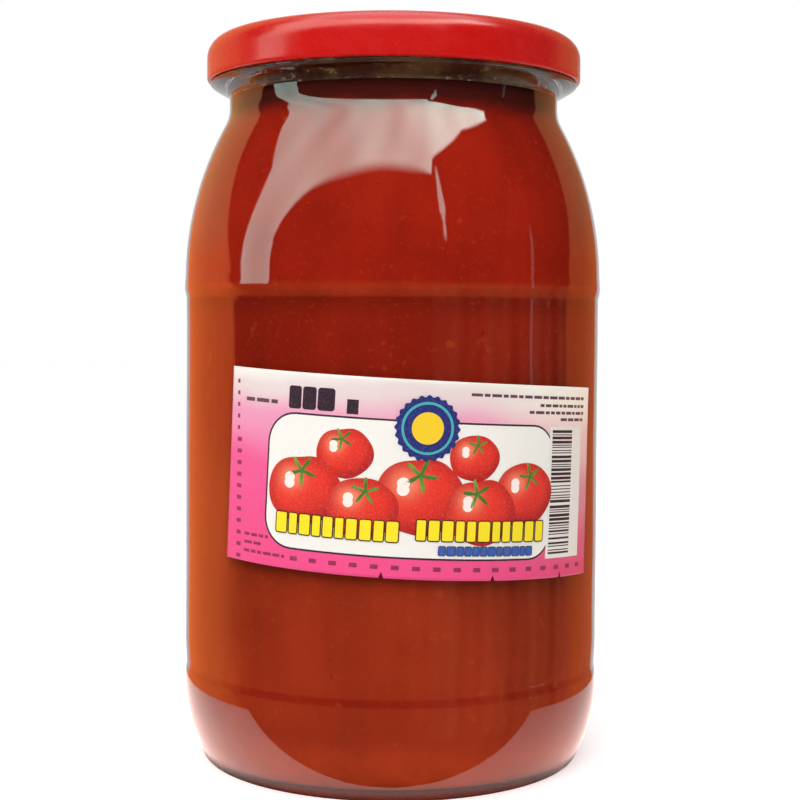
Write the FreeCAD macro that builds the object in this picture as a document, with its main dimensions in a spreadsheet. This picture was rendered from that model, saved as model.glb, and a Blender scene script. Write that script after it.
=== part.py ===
import FreeCAD, Part
import math
import os
import Sketcher

# A 900 g glass jar of tomato paste: a blown jar with a twist-off finish, the paste in it,
# a tinplate lid with six lugs and a paper label glued round the front.
# Millimetres, +Z up. The origin is the centre of the base, on the surface that the jar stands
# on, and the front of the jar faces -Y.

SIZES = (
    # jar, outside
    ("body_radius", 47.5, "straight wall of the jar"),
    ("jar_height", 163.5, "from the base to the sealing rim"),
    ("foot_width", 3.0, "flat ring that the jar stands on"),
    ("foot_fillet", 2.0, "rounding from the foot into the heel"),
    ("push_up", 3.2, "rise of the hollow under the base"),
    ("heel_radius", 36.0, "curve of the heel"),
    ("heel_top", 19.2, "height at which the heel stands upright"),
    ("heel_crease_depth", 0.6, "waist over the heel bead"),
    ("heel_bead_radius", 6.5, "curve of the bead over the heel"),
    ("waist_height", 5.0, "run from the waist back to the straight wall"),
    ("shoulder_step", 0.4, "how far the shoulder stands proud of the wall"),
    ("shoulder_bead_radius", 11.0, "curve of the bead under the shoulder"),
    ("shoulder_band", 4.6, "from the crease under the bead to where the shoulder closes"),
    ("shoulder_radius", 64.0, "convex curve of the shoulder"),
    ("neck_fillet", 19.0, "concave curve from the shoulder into the neck"),
    # jar, inside
    ("glass_wall", 2.8, "wall at the shoulder"),
    ("floor_height", 3.0, "lowest ring of the inside, over the table"),
    ("inner_heel_radius", 11.0, "curve from the floor into the wall"),
    # finish, the moulded top that takes the lid
    ("finish_radius", 39.4, "wall that carries the thread"),
    ("neck_inset", 1.6, "how far the neck is narrower than that wall"),
    ("transfer_ring_reach", 2.8, "how far the ring under the lid stands out from it"),
    ("transfer_ring_land", 0.6, "upright edge of that ring"),
    ("transfer_ring_rise", 3.8, "slope from the neck out to the ring"),
    ("transfer_ring_clearance", 0.35, "between the ring and the lid's lower edge"),
    ("rim_bevel", 1.0, "bevel along both edges of the rim"),
    ("thread_depth", 1.4, "how far a thread stands out"),
    ("thread_width", 1.5, "height of a thread's section"),
    ("thread_sweep", 46.0, "degrees that one thread runs round the neck"),
    ("thread_rise", 3.0, "height that one thread gains"),
    ("start_count", 6, "threads, and lugs under them"),
    # lid
    ("skirt_clearance", 1.8, "between the threads and the inside of the skirt"),
    ("lid_height", 10.0, "from the curled edge to the top"),
    ("lid_sheet", 0.4, "lacquered tinplate"),
    ("lid_round", 3.2, "rounding over the rim"),
    ("lid_clearance", 0.05, "between the sealing compound and the rim"),
    ("compound_thickness", 0.5, "sealing compound over the rim"),
    ("curl_radius", 0.85, "rolled lower edge"),
    ("panel_clearance", 1.4, "between the sunk middle of the lid and the mouth"),
    ("panel_depth", 1.2, "how far the middle is sunk"),
    ("button_radius", 14.0, "raised button that pops up when the seal is broken"),
    ("button_height", 0.5, "rise of the button"),
    ("lug_sweep", 17.0, "degrees that one lug takes up"),
    ("lug_height", 1.25, "height of a lug's section"),
    ("lug_clearance", 0.3, "between a lug, the wall beside it and the thread over it"),
    # paste
    ("headspace", 12.5, "from the paste up to the rim"),
    ("paste_clearance", 0.04, "between the paste and the glass"),
    # label
    ("label_width", 91.5, "along the wall"),
    ("label_height", 40.8, "up the wall"),
    ("label_thickness", 0.15, "paper and glue"),
    ("label_clearance", 0.03, "between the paper and the glass"),
    ("label_lift", 1.4, "how far the label sits over the middle of the wall"),
    ("label_azimuth", 9.3, "degrees that its middle lies right of the front"),
    ("label_tilt", 3.0, "degrees that its right end hangs low"),
    ("nick_width", 1.0, "date nicks cut into the label's lower edge"),
    ("nick_depth", 1.3, "depth of a nick"),
)

# Where the date nicks lie along the label, as shares of its width from the left.
NICK_PLACES = (0.405, 0.665, 0.875)


class Length:
    """A size that carries its value together with the sheet expression it comes from."""

    def __init__(self, value, expression):
        self.value = value
        self.expression = expression

    def joined(self, other, sign, value):
        """The length made of this one and another, joined by the sign."""
        text = other.expression if isinstance(other, Length) else repr(float(other))
        return Length(value, f"({self.expression} {sign} {text})")

    def __add__(self, other):
        return self.joined(other, "+", self.value + plain(other))

    def __sub__(self, other):
        return self.joined(other, "-", self.value - plain(other))

    def __mul__(self, other):
        return self.joined(other, "*", self.value * plain(other))

    def __truediv__(self, other):
        return self.joined(other, "/", self.value / plain(other))

    def root(self):
        """The square root of this length taken as a bare number."""
        return Length(math.sqrt(self.value), f"sqrt({self.expression})")


def plain(size):
    """The bare number behind a length."""
    return size.value if isinstance(size, Length) else size


ZERO = Length(0.0, "0")


class Outline:
    """A closed outline in the XZ plane of a body, held by expressions at every corner."""

    def __init__(self, body, name, turn=0.0):
        self.sketch = body.newObject("Sketcher::SketchObject", name)
        planes = [plane for plane in body.Origin.OriginFeatures if plane.Role == "XZ_Plane"]
        self.sketch.AttachmentSupport = [(planes[0], "")]
        self.sketch.MapMode = "FlatFace"
        upright = FreeCAD.Vector(0, 1, 0)
        self.sketch.AttachmentOffset = FreeCAD.Placement(FreeCAD.Vector(), FreeCAD.Rotation(upright, turn))
        self.edges = []
        self.corners = []

    def start(self, r, z):
        """Puts the first corner at radius r and height z."""
        self.corners.append((r, z))

    def line(self, r, z):
        """Draws a straight edge to the corner at radius r and height z."""
        self.edges.append(None)
        self.corners.append((r, z))

    def arc(self, r, z, radius, bulge):
        """Draws an arc to r and z; bulge 1 lies right of the way it runs, and -1 left."""
        self.edges.append((radius, bulge))
        self.corners.append((r, z))

    def close(self):
        """Joins the last corner to the first, writes the sketch and returns it."""
        if self.corners[-1] == self.corners[0]:
            self.corners.pop()
        else:
            self.edges.append(None)
        points = [FreeCAD.Vector(r.value, z.value, 0) for r, z in self.corners]
        ends = []
        for index, edge in enumerate(self.edges):
            here = points[index]
            there = points[(index + 1) % len(points)]
            ends.append(self.draw(here, there, edge))
        for index, (tail, head) in enumerate(ends):
            following = ends[(index + 1) % len(ends)][0]
            self.sketch.addConstraint(Sketcher.Constraint("Coincident", *head, *following))
        for (tail, head), (r, z) in zip(ends, self.corners):
            self.hold("DistanceX", tail, r)
            self.hold("DistanceY", tail, z)
        return self.sketch

    def draw(self, here, there, edge):
        """Adds one edge and returns where its two ends are found in the sketch."""
        if edge is None:
            index = self.sketch.addGeometry(Part.LineSegment(here, there))
            return (index, 1), (index, 2)
        radius, bulge = edge
        chord = there - here
        aside = FreeCAD.Vector(chord.y, -chord.x, 0).normalize()
        sagitta = radius.value - math.sqrt(max(0.0, radius.value**2 - (chord.Length / 2) ** 2))
        middle = (here + there) / 2 + aside * (bulge * sagitta)
        index = self.sketch.addGeometry(Part.Arc(here, middle, there))
        constraint = self.sketch.addConstraint(Sketcher.Constraint("Radius", index, radius.value))
        self.sketch.setExpression(f"Constraints[{constraint}]", radius.expression)
        drawn_start = self.sketch.getPoint(index, 1)
        if drawn_start.distanceToPoint(here) < drawn_start.distanceToPoint(there):
            return (index, 1), (index, 2)
        return (index, 2), (index, 1)

    def hold(self, kind, end, size):
        """Holds one end at its distance from the axis or from the base."""
        if size.value == 0.0:
            axis = -2 if kind == "DistanceX" else -1
            self.sketch.addConstraint(Sketcher.Constraint("PointOnObject", *end, axis))
            return
        constraint = self.sketch.addConstraint(Sketcher.Constraint(kind, -1, 1, *end, size.value))
        self.sketch.setExpression(f"Constraints[{constraint}]", size.expression)


def make_sheet(doc):
    """Writes the sizes to the sheet and returns each as a Length under its alias."""
    sheet = doc.addObject("Spreadsheet::Sheet", "Sizes")
    for row, (alias, value, note) in enumerate(SIZES, start=1):
        sheet.set(f"A{row}", alias)
        sheet.set(f"B{row}", str(value))
        sheet.set(f"C{row}", note)
        sheet.setAlias(f"B{row}", alias)
    doc.recompute()
    return {alias: Length(float(sheet.get(alias)), f"Sizes.{alias}") for alias, _, _ in SIZES}


def make_body(doc, label):
    """Adds an empty body whose label names its file."""
    body = doc.addObject("PartDesign::Body", "Body")
    body.Label = label
    return body


def turn_about_axis(body, kind, name, sketch, angle=360.0, midplane=False):
    """Adds a Revolution or a Groove of the sketch about the jar's axis."""
    feature = body.newObject(f"PartDesign::{kind}", name)
    feature.Profile = sketch
    feature.ReferenceAxis = (sketch, ["V_Axis"])
    feature.Angle = angle
    feature.Midplane = midplane
    return feature


def repeat_round(body, feature, name):
    """Repeats a feature once for each start of the thread."""
    pattern = body.newObject("PartDesign::PolarPattern", name)
    pattern.Originals = [feature]
    planes = [axis for axis in body.Origin.OriginFeatures if axis.Role == "Z_Axis"]
    pattern.Axis = (planes[0], [""])
    pattern.Angle = 360
    pattern.setExpression("Occurrences", "Sizes.start_count")
    body.Tip = pattern
    return pattern


def neck_radius(size):
    """Radius of the narrowest place, under the transfer ring."""
    return size["finish_radius"] - size["neck_inset"]


def lid_radius(size):
    """Radius of the lid's skirt, outside."""
    return size["finish_radius"] + size["thread_depth"] + size["skirt_clearance"] + size["lid_sheet"]


def lid_top(size):
    """Height of the lid's highest ring, over the rim and its sealing compound."""
    return size["jar_height"] + size["lid_clearance"] + size["compound_thickness"] + size["lid_sheet"]


def ring_edge(size):
    """Height at which the slope from the neck meets the transfer ring's upright edge."""
    ring_top = lid_top(size) - size["lid_height"] - size["transfer_ring_clearance"]
    return ring_top - size["transfer_ring_land"]


def heel_crease(size):
    """Height of the crease over the bead at the heel."""
    depth = size["heel_crease_depth"]
    bead = size["heel_bead_radius"]
    return size["heel_top"] + (bead * 2 * depth - depth * depth).root()


def shoulder_crease(size):
    """Height of the crease under the bead at the shoulder."""
    return ShoulderCurve(size, ZERO).start_z - size["shoulder_band"]


class ShoulderCurve:
    """Where the shoulder's convex arc hands over to the concave arc into the neck."""

    def __init__(self, size, inset):
        outer = size["body_radius"] + size["shoulder_step"]
        reach = size["shoulder_radius"] + size["neck_fillet"]
        drop = outer - neck_radius(size)
        self.height = (reach * 2 * drop - drop * drop).root()
        self.start_r = outer - inset
        self.end_z = ring_edge(size) - size["transfer_ring_rise"]
        self.start_z = self.end_z - self.height
        self.convex = size["shoulder_radius"] - inset
        self.concave = size["neck_fillet"] + inset
        lean = drop / reach
        self.middle_r = self.start_r - self.convex * lean
        self.middle_z = self.start_z + self.height * self.convex / reach
        self.end_r = neck_radius(size) - inset

    def draw(self, outline):
        """Continues an outline from the shoulder's start up to the neck."""
        outline.arc(self.middle_r, self.middle_z, self.convex, 1)
        outline.arc(self.end_r, self.end_z, self.concave, -1)


def draw_base(outline, size):
    """Draws the hollow base, the foot, the heel and the bead over the heel."""
    heel = size["heel_radius"]
    fillet = size["foot_fillet"]
    span = heel - fillet
    rise = size["heel_top"] - fillet
    run = (span * span - rise * rise).root()
    heel_centre = size["body_radius"] - heel
    foot_radius = heel_centre + run
    crease_z = heel_crease(size)
    outline.start(ZERO, size["push_up"])
    outline.line(foot_radius - size["foot_width"], ZERO)
    outline.line(foot_radius, ZERO)
    outline.arc(heel_centre + run * heel / span, size["heel_top"] - rise * heel / span, fillet, 1)
    outline.arc(size["body_radius"], size["heel_top"], heel, 1)
    outline.arc(size["body_radius"] - size["heel_crease_depth"], crease_z, size["heel_bead_radius"], 1)
    outline.line(size["body_radius"], crease_z + size["waist_height"])


def draw_wall(outline, size):
    """Draws the straight wall, the bead under the shoulder, the shoulder and the neck."""
    step = size["shoulder_step"]
    bead = size["shoulder_bead_radius"]
    bead_height = (bead * 2 * step - step * step).root()
    curve = ShoulderCurve(size, ZERO)
    crease_z = shoulder_crease(size)
    outline.line(size["body_radius"], crease_z)
    outline.arc(curve.start_r, crease_z + bead_height, bead, 1)
    outline.line(curve.start_r, curve.start_z)
    curve.draw(outline)


def draw_finish(outline, size):
    """Draws the transfer ring, the threaded wall and the bevelled rim."""
    wall = size["finish_radius"]
    ring = wall + size["transfer_ring_reach"]
    edge = ring_edge(size)
    outline.line(ring, edge)
    outline.line(ring, edge + size["transfer_ring_land"])
    outline.line(wall, edge + size["transfer_ring_land"])
    outline.line(wall, size["jar_height"] - size["rim_bevel"])
    outline.line(wall - size["rim_bevel"], size["jar_height"])
    outline.line(ZERO, size["jar_height"])


def draw_inside(outline, size, gap):
    """Draws the inside of the jar, a gap short of the glass, from the floor to the neck."""
    wall = ShoulderCurve(size, size["glass_wall"] + gap)
    curve = size["inner_heel_radius"] - gap
    floor = size["floor_height"] + gap
    outline.start(ZERO, size["push_up"] + size["glass_wall"] + gap)
    outline.line(wall.start_r - curve, floor)
    outline.arc(wall.start_r, floor + curve, curve, 1)
    outline.line(wall.start_r, wall.start_z)
    wall.draw(outline)
    return wall


def make_jar(doc, size):
    """The glass: a thick-based blown jar with a six-start twist-off finish."""
    body = make_body(doc, "glass_jar")
    outside = Outline(body, "Outside")
    draw_base(outside, size)
    draw_wall(outside, size)
    draw_finish(outside, size)
    turn_about_axis(body, "Revolution", "Blank", outside.close())
    add_threads(body, size)
    inside = Outline(body, "Inside")
    bore = draw_inside(inside, size, ZERO)
    bevel = size["rim_bevel"]
    inside.line(bore.end_r, size["jar_height"] - bevel)
    inside.line(bore.end_r + bevel * 2, size["jar_height"] + bevel)
    inside.line(ZERO, size["jar_height"] + bevel)
    body.Tip = turn_about_axis(body, "Groove", "Hollow", inside.close())
    return body


def thread_foot(size):
    """Height of a thread's lower end, just over the lug that it holds."""
    lug_middle = lid_top(size) - size["lid_height"] + size["curl_radius"]
    return lug_middle + size["lug_height"] / 2 + size["lug_clearance"]


def add_threads(body, size):
    """Winds one rising thread on the finish and repeats it for each start."""
    foot = thread_foot(size)
    buried = size["finish_radius"] - size["thread_depth"]
    proud = size["finish_radius"] + size["thread_depth"]
    slope = size["thread_width"] / 4
    section = Outline(body, "ThreadSection", turn=-size["lug_sweep"].value / 2)
    section.start(buried, foot)
    section.line(proud, foot)
    section.line(proud, foot + size["thread_width"] - slope * 2)
    section.line(buried, foot + size["thread_width"])
    thread = body.newObject("PartDesign::AdditiveHelix", "Thread")
    sketch = section.close()
    thread.Profile = sketch
    thread.ReferenceAxis = (sketch, ["V_Axis"])
    thread.Mode = "pitch-height-angle"
    thread.setExpression("Pitch", "Sizes.thread_rise * 360 / Sizes.thread_sweep")
    thread.setExpression("Height", "Sizes.thread_rise")
    body.Tip = thread
    repeat_round(body, thread, "Threads")


def make_paste(doc, size):
    """The paste: a solid that fills the jar up to its level in the neck."""
    body = make_body(doc, "tomato_paste")
    filling = Outline(body, "Filling")
    neck = draw_inside(filling, size, size["paste_clearance"])
    level = size["jar_height"] - size["headspace"]
    filling.line(neck.end_r, level)
    filling.line(ZERO, level)
    body.Tip = turn_about_axis(body, "Revolution", "Paste", filling.close())
    return body


def make_lid(doc, size):
    """The lid: a pressed tinplate cap with a curled edge and six lugs."""
    body = make_body(doc, "lid")
    top = lid_top(size)
    edge = top - size["lid_height"] + size["curl_radius"]
    turn_about_axis(body, "Revolution", "Cap", draw_cap(body, size, top, edge))
    turn_about_axis(body, "Groove", "CapHollow", draw_cap_hollow(body, size, top, edge))
    curl = turn_about_axis(body, "Revolution", "Curl", draw_curl(body, size, edge))
    body.Tip = curl
    lug = turn_about_axis(body, "Revolution", "Lug", draw_lug(body, size, edge), midplane=True)
    lug.setExpression("Angle", "Sizes.lug_sweep")
    body.Tip = lug
    repeat_round(body, lug, "Lugs")
    return body


def panel_radius(size):
    """Radius of the lid's sunk middle, which drops into the mouth of the jar."""
    return neck_radius(size) - size["glass_wall"] - size["panel_clearance"]


def draw_cap(body, size, top, edge):
    """The outside of the cap, from its raised button round to the end of the skirt."""
    panel = top - size["panel_depth"]
    button = size["button_radius"]
    sunk = panel_radius(size)
    skirt = lid_radius(size)
    outline = Outline(body, "CapOutside")
    outline.start(ZERO, panel + size["button_height"])
    outline.line(button, panel + size["button_height"])
    outline.line(button + size["button_height"] * 3, panel)
    outline.line(sunk, panel)
    outline.line(sunk + size["panel_depth"] / 2, top)
    outline.line(skirt - size["lid_round"], top)
    outline.arc(skirt, top - size["lid_round"], size["lid_round"], -1)
    outline.line(skirt, edge)
    outline.line(ZERO, edge)
    return outline.close()


def draw_cap_hollow(body, size, top, edge):
    """The inside of the cap: the panel's underside, the compound over the rim and the skirt."""
    sheet = size["lid_sheet"]
    under_panel = top - size["panel_depth"] - sheet
    button = size["button_radius"] - sheet
    sunk = panel_radius(size)
    skirt = lid_radius(size) - sheet
    roof = top - sheet
    compound = roof - size["compound_thickness"]
    turn = size["lid_round"] - sheet
    outline = Outline(body, "CapInside")
    outline.start(ZERO, under_panel + size["button_height"])
    outline.line(button, under_panel + size["button_height"])
    outline.line(button + size["button_height"] * 3, under_panel)
    outline.line(sunk + sheet, under_panel)
    outline.line(sunk + size["panel_depth"], compound)
    outline.line(skirt - turn - size["compound_thickness"], compound)
    outline.line(skirt - turn, roof)
    outline.line(skirt - turn / 3, roof - turn / 3)
    outline.line(skirt, roof - turn)
    outline.line(skirt, edge - size["curl_radius"])
    outline.line(ZERO, edge - size["curl_radius"])
    return outline.close()


def draw_curl(body, size, edge):
    """The rolled edge at the foot of the skirt."""
    curl = size["curl_radius"]
    skirt = lid_radius(size)
    middle = skirt - curl
    outline = Outline(body, "CurlSection")
    outline.start(middle, edge - curl)
    outline.arc(skirt, edge, curl, 1)
    outline.line(skirt, edge + curl)
    outline.line(middle, edge + curl)
    outline.line(middle - curl, edge)
    return outline.close()


def draw_lug(body, size, edge):
    """The section of one lug, turned in from the curl over the finish."""
    outer = lid_radius(size) - size["curl_radius"]
    tip = size["finish_radius"] + size["lug_clearance"]
    half = size["lug_height"] / 2
    outline = Outline(body, "LugSection")
    outline.start(outer, edge - half)
    outline.line(tip + half, edge - half)
    outline.arc(tip, edge, half, -1)
    outline.arc(tip + half, edge + half, half, -1)
    outline.line(outer, edge + half)
    return outline.close()


def label_outline(size):
    """Corners of the label laid flat, as distances along and up from its middle."""
    half_width = size["label_width"].value / 2
    half_height = size["label_height"].value / 2
    half_nick = size["nick_width"].value / 2
    corners = [(-half_width, half_height), (-half_width, -half_height)]
    for place in NICK_PLACES:
        along = (2 * place - 1) * half_width
        corners.append((along - half_nick, -half_height))
        corners.append((along, -half_height + size["nick_depth"].value))
        corners.append((along + half_nick, -half_height))
    corners += [(half_width, -half_height), (half_width, half_height)]
    return corners


def wrap_outline(corners, size, radius):
    """Edges of the label's outline, tilted and laid on a cylinder of the radius."""
    cylinder = Part.Cylinder()
    cylinder.Radius = radius
    tilt = math.radians(-size["label_tilt"].value)
    front = math.radians(270 + size["label_azimuth"].value)
    glass = size["body_radius"].value
    wall_foot = (heel_crease(size) + size["waist_height"]).value
    middle = (wall_foot + shoulder_crease(size).value) / 2 + size["label_lift"].value
    places = []
    for along, up in corners:
        x = along * math.cos(tilt) - up * math.sin(tilt)
        z = along * math.sin(tilt) + up * math.cos(tilt)
        places.append(FreeCAD.Base.Vector2d(front + x / glass, middle + z))
    edges = []
    for here, there in zip(places, places[1:] + places[:1]):
        edges.append(Part.Geom2d.Line2dSegment(here, there).toShape(cylinder))
    return cylinder, edges


def make_label(doc, size):
    """The label: a sheet of paper wrapped on the straight wall, with its nicked edge."""
    corners = label_outline(size)
    inner = size["body_radius"].value + size["label_clearance"].value
    back, back_edges = wrap_outline(corners, size, inner)
    face, face_edges = wrap_outline(corners, size, inner + size["label_thickness"].value)
    faces = [sheet_face(back, back_edges), sheet_face(face, face_edges)]
    faces += [Part.makeRuledSurface(one, other) for one, other in zip(back_edges, face_edges)]
    shell = Part.makeShell(faces)
    shell.sewShape()
    solid = Part.makeSolid(shell)
    solid.fix(1e-6, 1e-6, 1e-6)
    if solid.Volume < 0:
        solid.reverse()
    label = doc.addObject("Part::Feature", "Label")
    label.Label = "paper_label"
    label.Shape = solid
    label.Placement = FreeCAD.Placement()
    return label


def sheet_face(surface, edges):
    """The patch of a surface that lies inside a ring of edges."""
    face = Part.Face(surface, Part.Wire(edges))
    face.validate()
    return face


def check(doc, pieces):
    """Stops if anything in the document failed or any piece has no sound shape."""
    for item in doc.Objects:
        if "Invalid" in item.State or "Error" in item.State:
            raise RuntimeError(f"{item.Label} failed: {item.State}")
    for piece in pieces:
        if piece.Shape.isNull() or not piece.Shape.isValid() or len(piece.Shape.Solids) != 1:
            raise RuntimeError(f"{piece.Label} is not one sound solid")


def main():
    """Builds the document, checks it and writes one file for each piece."""
    doc = FreeCAD.newDocument("TomatoPasteJar")
    size = make_sheet(doc)
    pieces = [
        make_jar(doc, size),
        make_paste(doc, size),
        make_lid(doc, size),
        make_label(doc, size),
    ]
    doc.recompute()
    check(doc, pieces)
    os.makedirs("parts", exist_ok=True)
    for piece in pieces:
        piece.Shape.exportStep(f"parts/{piece.Label}.step")
        box = piece.Shape.BoundBox
        print(piece.Label, round(piece.Shape.Volume, 1), box.XLength, box.YLength, box.ZMin, box.ZMax)


main()
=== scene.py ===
import logging
import math
from dataclasses import dataclass
from enum import Enum

import bmesh
import bpy
import numpy as np
from mathutils import Matrix, Vector


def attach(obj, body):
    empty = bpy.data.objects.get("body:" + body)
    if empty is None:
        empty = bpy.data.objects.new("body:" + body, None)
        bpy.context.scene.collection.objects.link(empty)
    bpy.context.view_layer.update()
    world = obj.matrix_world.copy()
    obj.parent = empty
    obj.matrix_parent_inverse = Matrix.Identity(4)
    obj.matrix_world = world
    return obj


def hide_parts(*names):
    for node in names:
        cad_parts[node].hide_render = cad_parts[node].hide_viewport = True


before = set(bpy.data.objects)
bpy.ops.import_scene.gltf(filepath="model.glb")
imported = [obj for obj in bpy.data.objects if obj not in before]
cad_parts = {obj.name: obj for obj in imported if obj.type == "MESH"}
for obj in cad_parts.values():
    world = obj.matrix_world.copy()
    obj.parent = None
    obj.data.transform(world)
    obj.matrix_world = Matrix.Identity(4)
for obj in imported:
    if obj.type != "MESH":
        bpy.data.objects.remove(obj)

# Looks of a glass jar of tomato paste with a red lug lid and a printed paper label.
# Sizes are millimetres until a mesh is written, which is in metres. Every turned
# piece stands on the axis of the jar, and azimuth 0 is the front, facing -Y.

LOG = logging.getLogger("tomato_paste_jar")
MM = 0.001
FRONT = -math.pi / 2


# ---------------------------------------------------------------- outlines


class Outline:
    """A half outline of a turned piece, as points of radius and height."""

    ARC_POINTS = 25

    def __init__(self, r: float, z: float) -> None:
        """Starts the outline.

        Args:
            r: Radius of the first point.
            z: Height of the first point.
        """
        self.points: list[tuple[float, float]] = [(r, z)]

    def line(self, r: float, z: float) -> "Outline":
        """Draws a straight stretch.

        Args:
            r: Radius of its end.
            z: Height of its end.

        Returns:
            The outline, so that calls can follow each other.
        """
        self.points.append((r, z))
        return self

    def arc(self, r: float, z: float, radius: float, bulge: int) -> "Outline":
        """Draws a round stretch.

        Args:
            r: Radius of its end.
            z: Height of its end.
            radius: Radius of the arc.
            bulge: 1 if the arc lies right of the way it runs, -1 if left.

        Returns:
            The outline.
        """
        start = np.array(self.points[-1])
        end = np.array((r, z))
        chord = end - start
        half = np.linalg.norm(chord) / 2
        aside = np.array((chord[1], -chord[0])) / (2 * half)
        depth = math.sqrt(max(0.0, radius**2 - half**2))
        centre = (start + end) / 2 - aside * bulge * depth
        first = math.atan2(*(start - centre)[::-1])
        sweep = 2 * math.asin(min(1.0, half / radius)) * bulge
        angles = first + np.linspace(0, sweep, self.ARC_POINTS)[1:-1]
        places = centre + radius * np.column_stack((np.cos(angles), np.sin(angles)))
        self.points.extend(map(tuple, places))
        self.points.append((r, z))
        return self

    def dense(self, step: float) -> np.ndarray:
        """Spaces the outline evenly.

        Args:
            step: Distance between two points.

        Returns:
            Points of radius and height, one row each.
        """
        points = np.array(self.points, float)
        length = np.concatenate(([0.0], np.cumsum(np.linalg.norm(np.diff(points, axis=0), axis=1))))
        places = np.linspace(0, length[-1], max(8, int(length[-1] / step)))
        return np.column_stack([np.interp(places, length, points[:, k]) for k in (0, 1)])

    def smooth(self, step: float, spread: float, count: int, turn_worth: float) -> np.ndarray:
        """Spaces the outline evenly, rounds its corners and keeps points where it bends.

        Args:
            step: Distance between two points before the rounding.
            spread: Width of the rounding.
            count: How many points to keep.
            turn_worth: Millimetres of length that one radian of bend is worth.

        Returns:
            Points of radius and height, one row each.
        """
        return thinned(eased(self.dense(step), spread, step), count, turn_worth)


def eased(points: np.ndarray, spread: float, step: float) -> np.ndarray:
    """Rounds the corners of an evenly spaced outline, as molten glass or pressed sheet does.

    Each point becomes the mean of its neighbours, weighted by exp(-d^2 / 2 spread^2).

    Args:
        points: Evenly spaced points.
        spread: Width of the weights.
        step: Distance between two points.

    Returns:
        The rounded points, with the ends where they were.
    """
    reach = max(1, int(3 * spread / step))
    offsets = np.arange(-reach, reach + 1) * step
    weights = np.exp(-(offsets**2) / (2 * spread**2))
    weights /= weights.sum()
    before = 2 * points[0] - points[reach:0:-1]
    after = 2 * points[-1] - points[-2 : -reach - 2 : -1]
    padded = np.vstack((before, points, after))
    return np.column_stack([np.convolve(padded[:, k], weights, "valid") for k in (0, 1)])


def thinned(points: np.ndarray, count: int, turn_worth: float) -> np.ndarray:
    """Keeps points closer together where an outline bends.

    Args:
        points: A dense outline.
        count: How many points to keep.
        turn_worth: Millimetres of length that one radian of bend is worth.

    Returns:
        The kept points.
    """
    step = np.diff(points, axis=0)
    length = np.linalg.norm(step, axis=1)
    heading = np.unwrap(np.arctan2(step[:, 1], step[:, 0]))
    bend = np.concatenate(([0.0], np.abs(np.diff(heading))))
    worth = np.concatenate(([0.0], np.cumsum(length + turn_worth * bend)))
    places = np.linspace(0, worth[-1], count)
    return np.column_stack([np.interp(places, worth, points[:, k]) for k in (0, 1)])


# ---------------------------------------------------------------- surfaces


def round_angles(count: int) -> np.ndarray:
    """Spaces angles evenly, once round the axis.

    Args:
        count: How many.

    Returns:
        The angles, from 0 up to one step short of a full turn.
    """
    return np.arange(count) * 2 * math.pi / count


def turned(points: np.ndarray, segments: int) -> np.ndarray:
    """Turns an outline about the axis.

    P(u, v) = (r(v) cos u, r(v) sin u, z(v)), with u from 0 to 2 pi.

    Args:
        points: Radius and height, one row each.
        segments: Steps round the axis.

    Returns:
        A grid of places, outline by segments by three.
    """
    u = round_angles(segments)
    r = points[:, 0:1]
    return np.stack((r * np.cos(u), r * np.sin(u), np.repeat(points[:, 1:2], segments, axis=1)), axis=2)


def push_out(grid: np.ndarray, r: np.ndarray, out: np.ndarray) -> None:
    """Moves a turned surface away from the axis, by scaling each place by 1 + out / r.

    Args:
        grid: Places of the surface, which are changed.
        r: Radius of each row, read as at least 1 mm.
        out: How far each place moves.
    """
    scale = 1 + out / np.maximum(r, 1.0)
    grid[:, :, :2] *= scale[:, :, None]


def grid_faces(rows: int, columns: int, round_columns: bool, round_rows: bool = False) -> np.ndarray:
    """Lists the quads of a grid of vertices.

    Args:
        rows: Rows of the grid.
        columns: Columns of the grid.
        round_columns: Whether the last column joins the first.
        round_rows: Whether the last row joins the first.

    Returns:
        Four vertex numbers for each quad.
    """
    i = np.arange(rows if round_rows else rows - 1)[:, None]
    j = np.arange(columns if round_columns else columns - 1)[None, :]
    i2, j2 = (i + 1) % rows, (j + 1) % columns
    corners = [i * columns + j, i * columns + j2, i2 * columns + j2, i2 * columns + j]
    return np.stack(corners, axis=2).reshape(-1, 4)


def make_mesh(
    name: str,
    places: np.ndarray,
    faces: np.ndarray,
    uv: np.ndarray | None = None,
    colour: np.ndarray | None = None,
    slots: np.ndarray | None = None,
    merge: bool = True,
) -> bpy.types.Object:
    """Writes a mesh object from arrays.

    Args:
        name: Name of the piece.
        places: Places in millimetres, one row each.
        faces: Vertex numbers of the quads.
        uv: Surface coordinates, one row for each vertex.
        colour: Red, green and blue in linear light, one row for each vertex.
        slots: Material slot of each face.
        merge: Whether poles and seams are closed and faces turned outwards.

    Returns:
        The object, with its place in its mesh.
    """
    mesh = bpy.data.meshes.new(name)
    mesh.from_pydata((places * MM).tolist(), [], faces.tolist())
    if slots is not None:
        mesh.polygons.foreach_set("material_index", slots.astype(np.int32))
    loops = np.empty(len(mesh.loops), np.int32)
    mesh.loops.foreach_get("vertex_index", loops)
    if uv is not None:
        layer = mesh.uv_layers.new(name="surface")
        layer.data.foreach_set("uv", uv[loops].astype(np.float32).ravel())
    if colour is not None:
        tint = mesh.color_attributes.new("tint", "FLOAT_COLOR", "POINT")
        full = np.column_stack((colour, np.ones(len(colour))))
        tint.data.foreach_set("color", full.astype(np.float32).ravel())
    mesh.polygons.foreach_set("use_smooth", np.ones(len(mesh.polygons), bool))
    if merge:
        work = bmesh.new()
        work.from_mesh(mesh)
        bmesh.ops.remove_doubles(work, verts=work.verts, dist=1e-7)
        bmesh.ops.dissolve_degenerate(work, edges=work.edges, dist=1e-7)
        bmesh.ops.recalc_face_normals(work, faces=work.faces)
        work.to_mesh(mesh)
        work.free()
    mesh.update()
    piece = bpy.data.objects.new(name, mesh)
    bpy.context.scene.collection.objects.link(piece)
    return piece


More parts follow.
